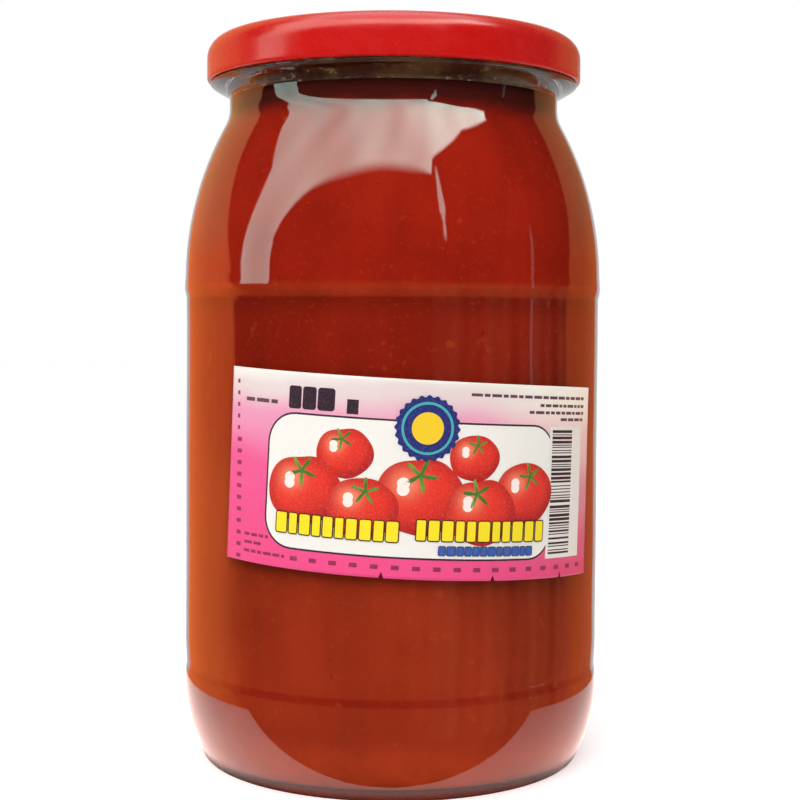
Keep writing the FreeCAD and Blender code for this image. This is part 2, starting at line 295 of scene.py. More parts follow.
def waves(theta: np.ndarray, z: np.ndarray, height: float, seed: int, count: int = 7) -> np.ndarray:
    """Slow unevenness over a turned surface.

    The sum of a few waves sin(k theta + m z + phase), each weaker as it gets finer.

    Args:
        theta: Angle round the axis.
        z: Height.
        height: Size of the largest swell.
        seed: Picks one set of waves.
        count: How many waves are added.

    Returns:
        How far the surface moves out at each place.
    """
    rng = np.random.default_rng(seed)
    total = np.zeros(np.broadcast(theta, z).shape)
    for number in range(1, count + 1):
        around = rng.integers(1, 3 + 2 * number)
        along = rng.uniform(-1, 1) * 2 * math.pi / (60 / number**0.7)
        total = total + np.sin(around * theta + along * z + rng.uniform(0, 6.3)) / number
    return total * height / 2


def smooth_step(low: float, high: float, x: np.ndarray) -> np.ndarray:
    """Rises from 0 to 1 between low and high, level at both ends.

    Args:
        low: Where the rise starts.
        high: Where it ends.
        x: Places to read.

    Returns:
        The height of the step at each place.
    """
    t = np.clip((x - low) / (high - low), 0, 1)
    return t * t * (3 - 2 * t)


# ---------------------------------------------------------------- materials


def linear(red: int, green: int, blue: int) -> tuple[float, float, float]:
    """Turns a colour of 0 to 255 into linear light.

    Args:
        red: Red share.
        green: Green share.
        blue: Blue share.

    Returns:
        The three shares in linear light.
    """
    shares = np.array((red, green, blue)) / 255
    low = shares / 12.92
    high = ((shares + 0.055) / 1.055) ** 2.4
    return tuple(float(x) for x in np.where(shares <= 0.04045, low, high))


class Shader:
    """A material under construction."""

    def __init__(self, name: str) -> None:
        """Starts an empty material.

        Args:
            name: Name of the material.
        """
        self.material = bpy.data.materials.new(name)
        self.material.use_nodes = True
        self.tree = self.material.node_tree
        self.tree.nodes.clear()
        self.output = self.tree.nodes.new("ShaderNodeOutputMaterial")

    def node(self, kind: str, **settings) -> bpy.types.Node:
        """Adds a node.

        Args:
            kind: Type of the node, without its ShaderNode prefix.
            **settings: Properties of the node.

        Returns:
            The node.
        """
        made = self.tree.nodes.new("ShaderNode" + kind)
        for key, value in settings.items():
            setattr(made, key, value)
        return made

    def feed(self, socket: bpy.types.NodeSocket, value) -> None:
        """Sets a socket from a number, a colour or another socket.

        Args:
            socket: Socket to set.
            value: What it gets.
        """
        if isinstance(value, bpy.types.NodeSocket):
            self.tree.links.new(value, socket)
        elif isinstance(value, tuple) and len(value) == 3 and socket.type == "RGBA":
            socket.default_value = (*value, 1)
        else:
            socket.default_value = value

    def principled(self, **values) -> bpy.types.Node:
        """Adds the main shader.

        Args:
            **values: Its inputs, with spaces written as underscores.

        Returns:
            The shader node.
        """
        shader = self.node("BsdfPrincipled")
        for key, value in values.items():
            self.feed(shader.inputs[key.replace("_", " ")], value)
        return shader

    def noise(
        self, scale: float, detail: float = 2.0, rough: float = 0.5, where=None
    ) -> bpy.types.NodeSocket:
        """Adds noise over the piece.

        Args:
            scale: Waves in one metre.
            detail: Octaves.
            rough: Strength of the finer octaves.
            where: Coordinates, or None for the piece's own.

        Returns:
            The noise, around one half.
        """
        made = self.node("TexNoise")
        self.feed(made.inputs["Vector"], where or self.place())
        made.inputs["Scale"].default_value = scale
        made.inputs["Detail"].default_value = detail
        made.inputs["Roughness"].default_value = rough
        return made.outputs["Fac"]

    def place(self) -> bpy.types.NodeSocket:
        """Gives the piece's own coordinates in metres."""
        return self.node("TexCoord").outputs["Object"]

    def stretched(self, x: float, y: float, z: float) -> bpy.types.NodeSocket:
        """Gives the piece's own coordinates, scaled apart along each axis.

        Args:
            x: Scale across.
            y: Scale in depth.
            z: Scale in height.

        Returns:
            The coordinates.
        """
        made = self.node("Mapping")
        made.inputs["Scale"].default_value = (x, y, z)
        self.feed(made.inputs["Vector"], self.place())
        return made.outputs["Vector"]

    def math(self, operation: str, first, second) -> bpy.types.NodeSocket:
        """Adds a sum.

        Args:
            operation: Blender's name of it.
            first: First value.
            second: Second value.

        Returns:
            The result.
        """
        made = self.node("Math", operation=operation)
        self.feed(made.inputs[0], first)
        self.feed(made.inputs[1], second)
        return made.outputs[0]

    def span(
        self, value, low: float, high: float, to_low: float = 0.0, to_high: float = 1.0
    ) -> bpy.types.NodeSocket:
        """Stretches a value from one span to another, smoothly and without leaving it.

        Args:
            value: Value to read.
            low: Start of the first span.
            high: End of the first span.
            to_low: Start of the second span.
            to_high: End of the second span.

        Returns:
            The stretched value.
        """
        made = self.node("MapRange", interpolation_type="SMOOTHSTEP")
        inputs = {"Value": value, "From Min": low, "From Max": high, "To Min": to_low, "To Max": to_high}
        for name, number in inputs.items():
            self.feed(made.inputs[name], number)
        return made.outputs["Result"]

    def band(self, value, start: tuple[float, float], end: tuple[float, float]) -> bpy.types.NodeSocket:
        """Rises from 0 to 1 over one span and falls back over a later one.

        Args:
            value: Value to read.
            start: Low and high end of the rise.
            end: Low and high end of the fall.

        Returns:
            The height of the band.
        """
        return self.math("MULTIPLY", self.span(value, *start), self.span(value, *end, 1.0, 0.0))

    def mix(self, share, first, second, blend: str = "MIX") -> bpy.types.NodeSocket:
        """Mixes two colours.

        Args:
            share: Share of the second.
            first: First colour.
            second: Second colour.
            blend: Blender's name of the blend.

        Returns:
            The mixed colour.
        """
        made = self.node("Mix", data_type="RGBA", blend_type=blend)
        self.feed(made.inputs[0], share)
        self.feed(made.inputs[6], first)
        self.feed(made.inputs[7], second)
        return made.outputs[2]

    def ramp(self, value, stops: list[tuple[float, tuple[float, float, float]]]) -> bpy.types.NodeSocket:
        """Reads a colour from a row of stops.

        Args:
            value: Place on the row, from 0 to 1.
            stops: Place and colour of each stop.

        Returns:
            The colour.
        """
        made = self.node("ValToRGB")
        made.color_ramp.interpolation = "EASE"
        elements = made.color_ramp.elements
        while len(elements) < len(stops):
            elements.new(0.5)
        for element, (place, colour) in zip(elements, stops):
            element.position = place
            element.color = (*colour, 1)
        self.feed(made.inputs[0], value)
        return made.outputs[0]

    def grey(self, value) -> bpy.types.NodeSocket:
        """Makes a grey of a value.

        Args:
            value: Brightness.

        Returns:
            The colour.
        """
        made = self.node("CombineColor")
        for socket in made.inputs:
            self.feed(socket, value)
        return made.outputs[0]

    def bump(self, height, depth: float, strength: float = 1.0) -> bpy.types.NodeSocket:
        """Turns a height into relief.

        Args:
            height: Height socket.
            depth: Distance in metres that a height of 1 stands for.
            strength: Strength of the relief.

        Returns:
            The normal.
        """
        made = self.node("Bump")
        made.inputs["Distance"].default_value = depth
        made.inputs["Strength"].default_value = strength
        self.feed(made.inputs["Height"], height)
        return made.outputs["Normal"]

    def finish(self, surface: bpy.types.Node) -> bpy.types.Material:
        """Joins the surface to the output.

        Args:
            surface: Node whose first output is the surface.

        Returns:
            The material.
        """
        self.tree.links.new(surface.outputs[0], self.output.inputs["Surface"])
        return self.material


@dataclass(frozen=True)
class GlassFinish:
    """Clear soda-lime container glass."""

    index: float = 1.5
    roughness: float = 0.012
    ripple: float = 0.00006

    def build(self) -> bpy.types.Material:
        """Makes clear glass that lets lamp light through.

        Returns:
            The material.
        """
        shader = Shader("container_glass")
        relief = shader.bump(shader.noise(55, 1.5), self.ripple)
        glass = shader.principled(
            Base_Color=(0.975, 0.985, 0.975),
            Roughness=shader.span(shader.noise(30, 2), 0.35, 0.7, self.roughness, self.roughness * 2),
            Transmission_Weight=1.0,
            IOR=self.index,
            Normal=relief,
        )
        clear = shader.node("BsdfTransparent")
        clear.inputs["Color"].default_value = (0.96, 0.97, 0.96, 1)
        rays = shader.node("LightPath")
        mixed = shader.node("MixShader")
        shader.feed(mixed.inputs[0], rays.outputs["Is Shadow Ray"])
        shader.feed(mixed.inputs[1], glass.outputs[0])
        shader.feed(mixed.inputs[2], clear.outputs[0])
        return shader.finish(mixed)


@dataclass(frozen=True)
class PasteFinish:
    """Cooked tomato paste pressed against glass, with painted light and shade in its colour: lighter low down
    and at the foot, a painted dark line at the heel crease, a painted highlight on the shoulder bead over a
    painted shade, and a painted shadow of the lid at its top.

    Each span holds two heights in metres, between which one colour gives way to the next.
    """

    # Painted light: low, high and shoulder are lit tones of one paste, lighter on the lower body, darker
    # higher up and a little lighter over the shoulder bead.
    low: tuple = linear(148, 47, 23)
    high: tuple = linear(133, 29, 14)
    shoulder: tuple = linear(147, 30, 14)
    # Painted highlight: a lighter orange band on the shoulder bead.
    ledge_highlight: tuple = linear(165, 60, 28)
    # Painted light: the foot tone brightens the paste towards the bottom.
    foot: tuple = linear(205, 72, 34)
    # Painted shade: a dark red line at the heel crease.
    crease_shade: tuple = linear(134, 24, 13)
    # Painted shadow: the lid's shadow darkens the paste at its top.
    lid_shadow: tuple = linear(78, 26, 20)
    fleck: tuple = linear(196, 84, 40)
    # The dark speck colour also paints the shade under the shoulder bead.
    speck_and_shade: tuple = linear(70, 18, 10)
    foot_light_span: tuple = (0.004, 0.014)
    crease_shade_start: tuple = (0.0199, 0.0206)
    crease_shade_end: tuple = (0.0217, 0.0226)
    crease_shade_share: float = 0.6
    high_span: tuple = (0.050, 0.088)
    under_bead_shade_span: tuple = (0.0993, 0.1045)
    under_bead_shade_share: float = 0.3
    ledge_highlight_start: tuple = (0.1047, 0.1056)
    ledge_highlight_end: tuple = (0.1072, 0.1086)
    ledge_highlight_share: float = 0.4
    shoulder_span: tuple = (0.1053, 0.1078)
    lid_shadow_span: tuple = (0.1425, 0.1485)
    drift: float = 0.012
    lid_shadow_drift: float = 0.0007

    def build(self) -> bpy.types.Material:
        """Makes the paste, with painted light and shade by height, slow clouds, fine pulp grain, pale flecks
        and dark specks.

        Returns:
            The material.
        """
        shader = Shader("tomato_paste")
        split = shader.node("SeparateXYZ")
        shader.feed(split.inputs[0], shader.place())
        up = split.outputs[2]
        drift = shader.span(shader.noise(24, 2), 0.2, 0.8, -self.drift, self.drift)
        height = shader.math("ADD", up, drift)
        # Painted light: lighter on the lower body, darker higher up.
        base = shader.mix(shader.span(height, *self.high_span), self.low, self.high)
        # Painted light: the paste turns lighter towards the foot.
        base = shader.mix(shader.span(up, *self.foot_light_span, 1.0, 0.0), base, self.foot)
        # Painted shade: a dark line in the paste along the heel crease.
        crease_shade = shader.band(up, self.crease_shade_start, self.crease_shade_end)
        base = shader.mix(shader.math("MULTIPLY", crease_shade, self.crease_shade_share), base, self.crease_shade)
        # Painted light: a slightly lighter tone over the shoulder bead.
        above = shader.span(up, *self.shoulder_span)
        base = shader.mix(above, base, self.shoulder)
        # Painted shade: the paste darkens just under the shoulder bead.
        dim = shader.math("MULTIPLY", shader.span(up, *self.under_bead_shade_span), shader.math("SUBTRACT", 1.0, above))
        base = shader.mix(shader.math("MULTIPLY", dim, self.under_bead_shade_share), base, self.speck_and_shade)
        # Painted highlight: a lighter band on the shoulder bead.
        ledge_highlight = shader.band(up, self.ledge_highlight_start, self.ledge_highlight_end)
        base = shader.mix(shader.math("MULTIPLY", ledge_highlight, self.ledge_highlight_share), base, self.ledge_highlight)
        clouds = shader.span(shader.noise(34, 4, 0.6), 0.3, 0.7, 0.86, 1.12)
        streaks = shader.span(shader.noise(1.0, 2, 0.5, shader.stretched(150, 150, 22)), 0.3, 0.7, 0.93, 1.06)
        for shade in (clouds, streaks):
            base = shader.mix(1.0, base, shader.grey(shade), "MULTIPLY")
        grain = shader.noise(900, 3, 0.65)
        pulp = shader.noise(330, 1, 0.4)
        specks = shader.noise(620, 1, 0.5)
        for spots, start, full, share, colour in (
            (grain, 0.55, 0.8, 0.22, self.fleck),
            (pulp, 0.68, 0.8, 0.2, self.fleck),
            (specks, 0.74, 0.82, 0.35, self.speck_and_shade),
        ):
            base = shader.mix(shader.span(spots, start, full, 0, share), base, colour)
        # Painted shadow of the lid over the top of the paste.
        lid_shadow_drift = shader.span(shader.noise(110, 3), 0.3, 0.7, -self.lid_shadow_drift, self.lid_shadow_drift)
        lid_shadow = shader.span(shader.math("ADD", up, lid_shadow_drift), *self.lid_shadow_span)
        base = shader.mix(lid_shadow, base, self.lid_shadow)
        body = shader.principled(
            Base_Color=base,
            Roughness=0.7,
            Specular_IOR_Level=0.0,
            Normal=shader.bump(grain, 0.0002, 0.3),
        )
        return shader.finish(body)


@dataclass(frozen=True)
class SmearFinish:
    """Dried smears of paste on the inside of the neck."""

    dry: tuple = linear(122, 92, 58)
    wet: tuple = linear(76, 40, 28)
    pale: tuple = linear(206, 192, 140)

    def build(self) -> bpy.types.Material:
        """Makes the smears, from brown to a pale olive bloom.

        Returns:
            The material.
        """
        shader = Shader("dried_smear")
        base = shader.mix(shader.span(shader.noise(90, 3, 0.6), 0.38, 0.62), self.wet, self.dry)
        base = shader.mix(shader.span(shader.noise(420, 4, 0.7), 0.55, 0.72, 0, 0.8), base, self.pale)
        body = shader.principled(Base_Color=base, Roughness=0.5, Specular_IOR_Level=0.3)
        return shader.finish(body)


@dataclass(frozen=True)
class TinFinish:
    """Stoved lacquer on tinplate."""

    name: str
    colour: tuple
    roughness: float = 0.3
    coat: float = 0.25

    def build(self) -> bpy.types.Material:
        """Makes lacquered tinplate with faint scuffs.

        Returns:
            The material.
        """
        shader = Shader(self.name)
        worn = shader.span(shader.noise(240, 4, 0.6), 0.35, 0.8, 0, 0.1)
        base = shader.mix(worn, self.colour, tuple(min(1.0, x * 1.25 + 0.01) for x in self.colour))
        rough = shader.span(shader.noise(300, 4, 0.6), 0.3, 0.75, self.roughness * 0.9, self.roughness * 1.15)
        body = shader.principled(
            Base_Color=base,
            Roughness=rough,
            Specular_IOR_Level=0.34,
            Coat_Weight=self.coat,
            Coat_Roughness=0.12,
            Normal=shader.bump(shader.noise(420, 2), 0.00002, 0.6),
        )
        return shader.finish(body)


# ---------------------------------------------------------------- jar


@dataclass(frozen=True)
class JarSizes:
    """Sizes of the glass, in millimetres."""

    body: float = 47.5
    shoulder: float = 47.75
    height: float = 163.5
    push_up: float = 3.2
    hollow_run: float = 6.0
    hollow_z: float = 2.5
    hollow_curve: float = 9.0
    foot: float = 42.0
    foot_width: float = 3.0
    foot_reach: float = 1.3
    foot_rise: float = 0.85
    foot_curve: float = 1.7
    heel: float = 36.0
    heel_top: float = 19.2
    heel_bead: float = 6.5
    crease: float = 0.3
    crease_z: float = 21.3
    wall_foot: float = 27.0
    band_z: float = 105.42
    band: float = 0.14
    band_middle: float = 1.9
    band_top: float = 4.2
    band_curve: float = 4.2
    band_fall: float = 14.0
    curve_z: float = 109.7
    convex: float = 72.0
    concave: float = 8.0
    neck: float = 37.8
    neck_z: float = 148.34
    ring_foot: float = 151.2
    ring: float = 42.3
    ring_z: float = 153.8
    ring_land: float = 0.5
    finish: float = 39.4
    bevel: float = 1.0
    wall: float = 2.8
    floor: float = 3.0
    inner_heel: float = 9.0
    inner_step: float = 0.2
    inner_bead: float = 1.25
    inner_heights: tuple = (-0.4, 1.7, 4.0)
    inner_curves: tuple = (3.6, 6.0)
    thread_start: float = 156.2
    thread_rise: float = 3.0
    thread_sweep: float = 46.0
    thread_width: float = 1.5
    thread_depth: float = 1.4
    thread_lead: float = -8.5
    starts: int = 6
    swell: float = 0.07
    inner_swell: float = 0.12
    swell_from: tuple = (8, 30)
    swell_to: tuple = (138, 150)

    def curve(self, inset: float) -> tuple[float, float]:
        """Finds where the shoulder's convex arc hands over to the concave one.

        Args:
            inset: Distance inside the outer surface.

        Returns:
            Radius and height of that point.
        """
        reach = self.convex + self.concave
        lean = (self.shoulder - self.neck) / reach
        r = self.shoulder - inset - (self.convex - inset) * lean
        return r, self.curve_z + (self.neck_z - self.curve_z) * (self.convex - inset) / reach


@dataclass(frozen=True)
class Jar:
    """The glass jar, with its beads, transfer ring and threads."""

    sizes: JarSizes
    STEP = 0.1
    SEGMENTS = 256
    TURN_WORTH = 9.0

    def outside(self) -> Outline:
        """Draws the base, heel, wall, shoulder, neck and finish.

        Returns:
            The outer outline, from the middle of the base to the rim.
        """
        s = self.sizes
        edge = s.foot - s.foot_width
        outline = Outline(0, s.push_up).line(edge - s.hollow_run, s.hollow_z).arc(edge, 0, s.hollow_curve, 1)
        outline.line(s.foot, 0).arc(s.foot + s.foot_reach, s.foot_rise, s.foot_curve, 1)
        outline.arc(s.body, s.heel_top, s.heel, 1)
        outline.arc(s.body - s.crease, s.crease_z, s.heel_bead, 1)
        outline.line(s.body, s.wall_foot).line(s.body, s.band_z)
        outline.arc(s.shoulder + s.band, s.band_z + s.band_middle, s.band_curve, 1)
        outline.arc(s.shoulder, s.band_z + s.band_top, s.band_fall, 1).line(s.shoulder, s.curve_z)
        outline.arc(*s.curve(0), s.convex, 1).arc(s.neck, s.neck_z, s.concave, -1)
        outline.line(s.neck, s.ring_foot).line(s.ring, s.ring_z).line(s.ring, s.ring_z + s.ring_land)
        outline.line(s.finish, s.ring_z + s.ring_land)
        outline.line(s.finish, s.height - s.bevel).line(s.finish - s.bevel, s.height)
        return outline

    def inside(self, inset: float, level: float) -> Outline:
        """Draws the inside of the wall, from the middle of the floor up to a level.

        Args:
            inset: Thickness of glass left outside it.
            level: Height where it ends, in the neck.

        Returns:
            The inner outline.
        """
        s = self.sizes
        wall = s.shoulder - inset
        extra = s.wall - inset
        curve = s.inner_heel + extra
        bead = s.band * s.inner_bead
        low, middle, high = (s.band_z + height for height in s.inner_heights)
        rise, fall = s.inner_curves
        outline = Outline(0, s.push_up + s.wall - extra).line(wall - curve, s.floor - extra)
        outline.arc(wall, s.floor - extra + curve, curve, 1).line(wall - s.inner_step, low)
        outline.arc(wall + bead, middle, rise, 1).arc(wall, high, fall, 1).line(wall, s.curve_z)
        outline.arc(*s.curve(inset), s.convex - inset, 1)
        outline.arc(s.neck - inset, s.neck_z, s.concave + inset, -1)
        return outline.line(s.neck - inset, level)

    def fade(self, z: np.ndarray) -> np.ndarray:
        """Gives how uneven the glass may be, which is nought at the foot and the finish.

        Args:
            z: Height.

        Returns:
            Share of the full unevenness.
        """
        s = self.sizes
        return smooth_step(*s.swell_from, z) * (1 - smooth_step(*s.swell_to, z))

    def swell(self, theta: np.ndarray, z: np.ndarray) -> np.ndarray:
        """Unevenness of the outer surface.

        Args:
            theta: Angle round the axis.
            z: Height.

        Returns:
            How far the glass stands out.
        """
        return waves(theta, z, self.sizes.swell, 4) * self.fade(z)

    def threads(self, theta: np.ndarray, z: np.ndarray) -> np.ndarray:
        """Height of the six rising threads over the finish.

        Args:
            theta: Angle round the axis.
            z: Height.

        Returns:
            How far the glass stands out.
        """
        s = self.sizes
        pitch = 2 * math.pi / s.starts
        along = np.mod(theta - math.radians(s.thread_lead), pitch) / math.radians(s.thread_sweep)
        middle = s.thread_start + s.thread_width / 2 + s.thread_rise * along
        across = np.abs(z - middle) / (s.thread_width * 0.62)
        ridge = np.clip(1 - across**2.5, 0, 1)
        ends = smooth_step(-0.02, 0.06, along) * (1 - smooth_step(0.94, 1.02, along))
        return s.thread_depth * 0.95 * ridge * ends

    def build(self) -> bpy.types.Object:
        """Builds the glass as one closed turned surface.

        Returns:
            The piece.
        """
        s = self.sizes
        outer = self.outside().smooth(self.STEP, 0.35, 215, self.TURN_WORTH)
        inner = self.inside(s.wall, s.height - s.bevel).smooth(self.STEP, 0.6, 95, self.TURN_WORTH)
        rim = Outline(*outer[-1]).arc(*inner[-1], 1.5, -1).dense(0.25)[1:-1]
        rim[:, 1] = np.minimum(rim[:, 1], s.height)
        points = np.vstack((outer, rim, inner[::-1]))
        grid = turned(points, self.SEGMENTS)
        theta = round_angles(self.SEGMENTS)[None, :]
        z = points[:, 1:2]
        out = np.zeros((len(points), self.SEGMENTS))
        own = slice(0, len(outer))
        out[own] = self.swell(theta, z[own]) + self.threads(theta, z[own])
        back = slice(len(outer) + len(rim), len(points))
        out[back] = (waves(theta, z, s.inner_swell, 11) * self.fade(z))[back]
        push_out(grid, points[:, 0:1], out)
        faces = grid_faces(len(points), self.SEGMENTS, True)
        piece = make_mesh("jar_clear_glass", grid.reshape(-1, 3), faces)
        piece.data.materials.append(GlassFinish().build())
        return piece


# ---------------------------------------------------------------- paste


@dataclass(frozen=True)
class PasteSizes:
    """Sizes of the paste, in millimetres."""

    bite: float = 0.15
    level: float = 151.0
    lumps: float = 0.5


@dataclass(frozen=True)
class Paste:
    """The paste, which reaches just into the glass of the jar."""

    sizes: PasteSizes
    jar: Jar
    SEGMENTS = 240
    TOP_ROWS = 40

    def build(self) -> bpy.types.Object:
        """Builds the filling with its uneven top.

        Returns:
            The piece.
        """
        s = self.sizes
        inset = self.jar.sizes.wall - s.bite
        side = self.jar.inside(inset, s.level).smooth(0.2, 0.6, 90, self.jar.TURN_WORTH)
        rim = side[-1, 0]
        top_r = np.linspace(rim - 0.4, 0, self.TOP_ROWS)
        top = np.column_stack((top_r, np.full(self.TOP_ROWS, s.level - 0.35)))
        points = np.vstack((side, top))
        grid = turned(points, self.SEGMENTS)
        theta = round_angles(self.SEGMENTS)[None, :]
        r = points[:, 0:1]
        x, y = r * np.cos(theta), r * np.sin(theta)
        lumps = np.sin(x / 5.1 + 1.2) * np.sin(y / 4.3 + 0.4) + 0.5 * np.sin(x / 2.3 - y / 3.1)
        edge = smooth_step(0, 6, rim - r)
        on_top = (np.arange(len(points)) >= len(side))[:, None]
        grid[:, :, 2] += np.where(on_top, s.lumps * lumps * edge - 0.4 * edge, 0)
        piece = make_mesh("paste_filling", grid.reshape(-1, 3), grid_faces(len(points), self.SEGMENTS, True))
        piece.data.materials.append(PasteFinish().build())
        return piece


@dataclass(frozen=True)
class SmearSizes:
    """Sizes of the smears over the paste, in millimetres."""

    foot: float = 150.0
    top: float = 156.8
    uneven: float = 1.8
    bite: float = 0.12
    thickness: float = 0.35


@dataclass(frozen=True)
class Smear:
    """A dried smear that rings the inside of the neck over the paste."""

    sizes: SmearSizes
    jar: Jar
    SEGMENTS = 360
    ROWS = 40

    def build(self) -> bpy.types.Object:
        """Builds the smear as a closed band with an uneven upper edge.

        Returns:
            The piece.
        """
        s = self.sizes
        bore = self.jar.sizes.neck - self.jar.sizes.wall
        theta = round_angles(self.SEGMENTS)[None, :]
        edge = s.top + waves(theta, 0 * theta, s.uneven, 31, 12)
        turn = np.linspace(0, 2 * math.pi, self.ROWS, endpoint=False)[:, None]
        share = 0.5 - 0.5 * np.cos(turn)
        z = s.foot + (edge - s.foot) * share
        fat = s.thickness * (1 - 0.75 * share) * (1 + 0.4 * np.sin(9 * theta + 2) * np.sin(4 * theta))
        inward = np.where(np.sin(turn) > 0, 0.0, 1.0) * np.sin(turn) ** 2
        r = bore + s.bite - (s.bite + fat) * inward
        grid = np.stack((r * np.cos(theta), r * np.sin(theta), z), axis=-1)
        piece = make_mesh("neck_smear", grid.reshape(-1, 3), grid_faces(self.ROWS, self.SEGMENTS, True, True))
        piece.data.materials.append(SmearFinish().build())
        return piece


# ---------------------------------------------------------------- lid


@dataclass(frozen=True)
class LidSizes:
    """Sizes of the lid, in millimetres."""

    radius: float = 43.0
    top: float = 164.45
    edge: float = 155.3
    sheet: float = 0.4
    turn: float = 4.2
    panel: float = 33.6
    panel_depth: float = 1.2
    button: float = 14.0
    button_height: float = 0.5
    curl: float = 0.85
    lugs: int = 6
    lug_sweep: float = 17.0
    lug_tip: float = 39.7


@dataclass(frozen=True)
class Lid:
    """The pressed lid, with its sunk panel, button, curl and lugs."""

    sizes: LidSizes
    SEGMENTS = 288
    INSIDE = 90

    def outline(self) -> tuple[np.ndarray, np.ndarray]:
        """Draws the lid's closed section, and how far each point turns in at a lug.

        Returns:
            The points, and their share of a lug's reach.
        """
        s = self.sizes
        panel = s.top - s.panel_depth
        skirt = s.radius
        outer = Outline(0, panel + s.button_height).line(s.button, panel + s.button_height)
        outer.line(s.button + 1.5, panel).line(s.panel, panel).line(s.panel + 0.6, s.top)
        outer.line(skirt - s.turn - 0.1, s.top).arc(skirt, s.top - s.turn - 0.3, s.turn + 0.45, -1)
        outside = outer.line(skirt, s.edge).smooth(0.08, 0.28, 120, 6.0)
        curl = Outline(skirt, s.edge).arc(skirt - s.curl, s.edge - s.curl, s.curl, -1)
        curl.arc(skirt - 2 * s.curl, s.edge, s.curl, -1)
        curl.arc(skirt - s.curl - 0.2, s.edge + s.curl - 0.1, s.curl, -1)
        rolled = curl.dense(0.15)[1:]
        inner = Outline(*rolled[-1]).line(skirt - s.sheet, s.edge + s.curl + 0.3)
        inner.line(skirt - s.sheet, s.top - s.turn).arc(skirt - s.turn, s.top - s.sheet, s.turn - s.sheet, 1)
        inner.line(skirt - s.turn - 0.5, s.top - s.sheet - 0.5).line(s.panel + 1.2, s.top - s.sheet - 0.5)
        inner.line(s.panel + s.sheet, panel - s.sheet).line(s.button + 1.1, panel - s.sheet)
        under = panel + s.button_height - s.sheet
        inner.line(s.button - s.sheet, under).line(0, under)
        inside = thinned(inner.dense(0.1)[1:], self.INSIDE, 5.0)
        points = np.vstack((outside, rolled, inside))
        depth = np.clip((skirt - 0.35 - rolled[:, 0]) / (2 * s.curl - 0.35), 0, 1)
        share = np.concatenate((np.zeros(len(outside)), depth, np.zeros(len(inside))))
        return points, share

    def build(self) -> bpy.types.Object:
        """Builds the lid as one closed surface.

        Returns:
            The piece.
        """
        s = self.sizes
        points, share = self.outline()
        theta = round_angles(self.SEGMENTS)
        pitch = 2 * math.pi / s.lugs
        off = np.abs(np.mod(theta + pitch / 2, pitch) - pitch / 2)
        half = math.radians(s.lug_sweep / 2)
        pressed = 1 - smooth_step(half * 0.75, half * 1.1, off)
        grid = turned(points, self.SEGMENTS)
        reach = (s.radius - 2 * s.curl - s.lug_tip) * share[:, None] * pressed[None, :]
        r = points[:, 0:1]
        push_out(grid, r, -reach)
        drum = waves(theta[None, :], r, 0.05, 21) * (1 - smooth_step(30, 33, r))
        grid[:, :, 2] += drum * smooth_step(0, 6, r)
        faces = grid_faces(len(points), self.SEGMENTS, True)
        row = faces[:, 0] // self.SEGMENTS
        slots = (row >= len(points) - self.INSIDE).astype(int)
        piece = make_mesh("lid_red_tin", grid.reshape(-1, 3), faces, slots=slots)
        piece.data.materials.append(TinFinish("red_lacquer", linear(193, 8, 4), 0.27, 0.1).build())
        piece.data.materials.append(TinFinish("gold_lacquer", linear(120, 98, 52), 0.38, 0.0).build())
        return piece


# ---------------------------------------------------------------- label


@dataclass(frozen=True)
class PaperFinish:
    """Coated label paper, tinted from cream at the top to pink at the foot."""

    left: tuple = (
        (0.0, linear(244, 74, 136)),
        (0.25, linear(240, 77, 138)),
        (0.5, linear(240, 86, 146)),
        (0.76, linear(236, 150, 184)),
        (0.93, linear(230, 212, 210)),
        (1.0, linear(238, 232, 224)),
    )
    right: tuple = (
        (0.0, linear(232, 70, 118)),
        (0.18, linear(228, 94, 130)),
        (0.42, linear(222, 146, 156)),
        (0.7, linear(244, 202, 194)),
        (0.9, linear(255, 244, 226)),
        (1.0, linear(255, 250, 234)),
    )

    def build(self) -> bpy.types.Material:
        """Makes the tinted paper, with a fine tooth and a soft sheen.

        Returns:
            The material.
        """
        shader = Shader("label_paper")
        split = shader.node("SeparateXYZ")
        shader.feed(split.inputs[0], shader.node("UVMap", uv_map="surface").outputs[0])
        along, up = split.outputs[0], split.outputs[1]
        drift = shader.span(shader.noise(60, 2), 0.2, 0.8, -0.03, 0.03)
        height = shader.math("ADD", up, drift)
        tint = shader.mix(
            shader.span(along, 0.5, 0.98),
            shader.ramp(height, list(self.left)),
            shader.ramp(height, list(self.right)),
        )
        tooth = shader.noise(2600, 2, 0.6)
        tint = shader.mix(shader.span(tooth, 0.4, 0.75, 0.0, 0.06), tint, linear(200, 170, 170))
        body = shader.principled(
            Base_Color=tint,
            Roughness=0.42,
            Specular_IOR_Level=0.3,
            Normal=shader.bump(tooth, 0.00001, 0.6),
        )
        return shader.finish(body)


@dataclass(frozen=True)
class InkFinish:
    """Printing ink, coloured by the tint that each printed shape carries."""

    def build(self) -> bpy.types.Material:
        """Makes the ink, slightly uneven as it lies on the paper.

        Returns:
            The material.
        """
        shader = Shader("printing_ink")
        tint = shader.node("Attribute", attribute_name="tint").outputs["Color"]
        tooth = shader.noise(2600, 2, 0.6)
        tint = shader.mix(shader.span(tooth, 0.45, 0.8, 0.0, 0.08), tint, linear(235, 215, 205))
        body = shader.principled(
            Base_Color=tint,
            Roughness=0.4,
            Specular_IOR_Level=0.3,
            Normal=shader.bump(tooth, 0.00001, 0.6),
        )
        return shader.finish(body)


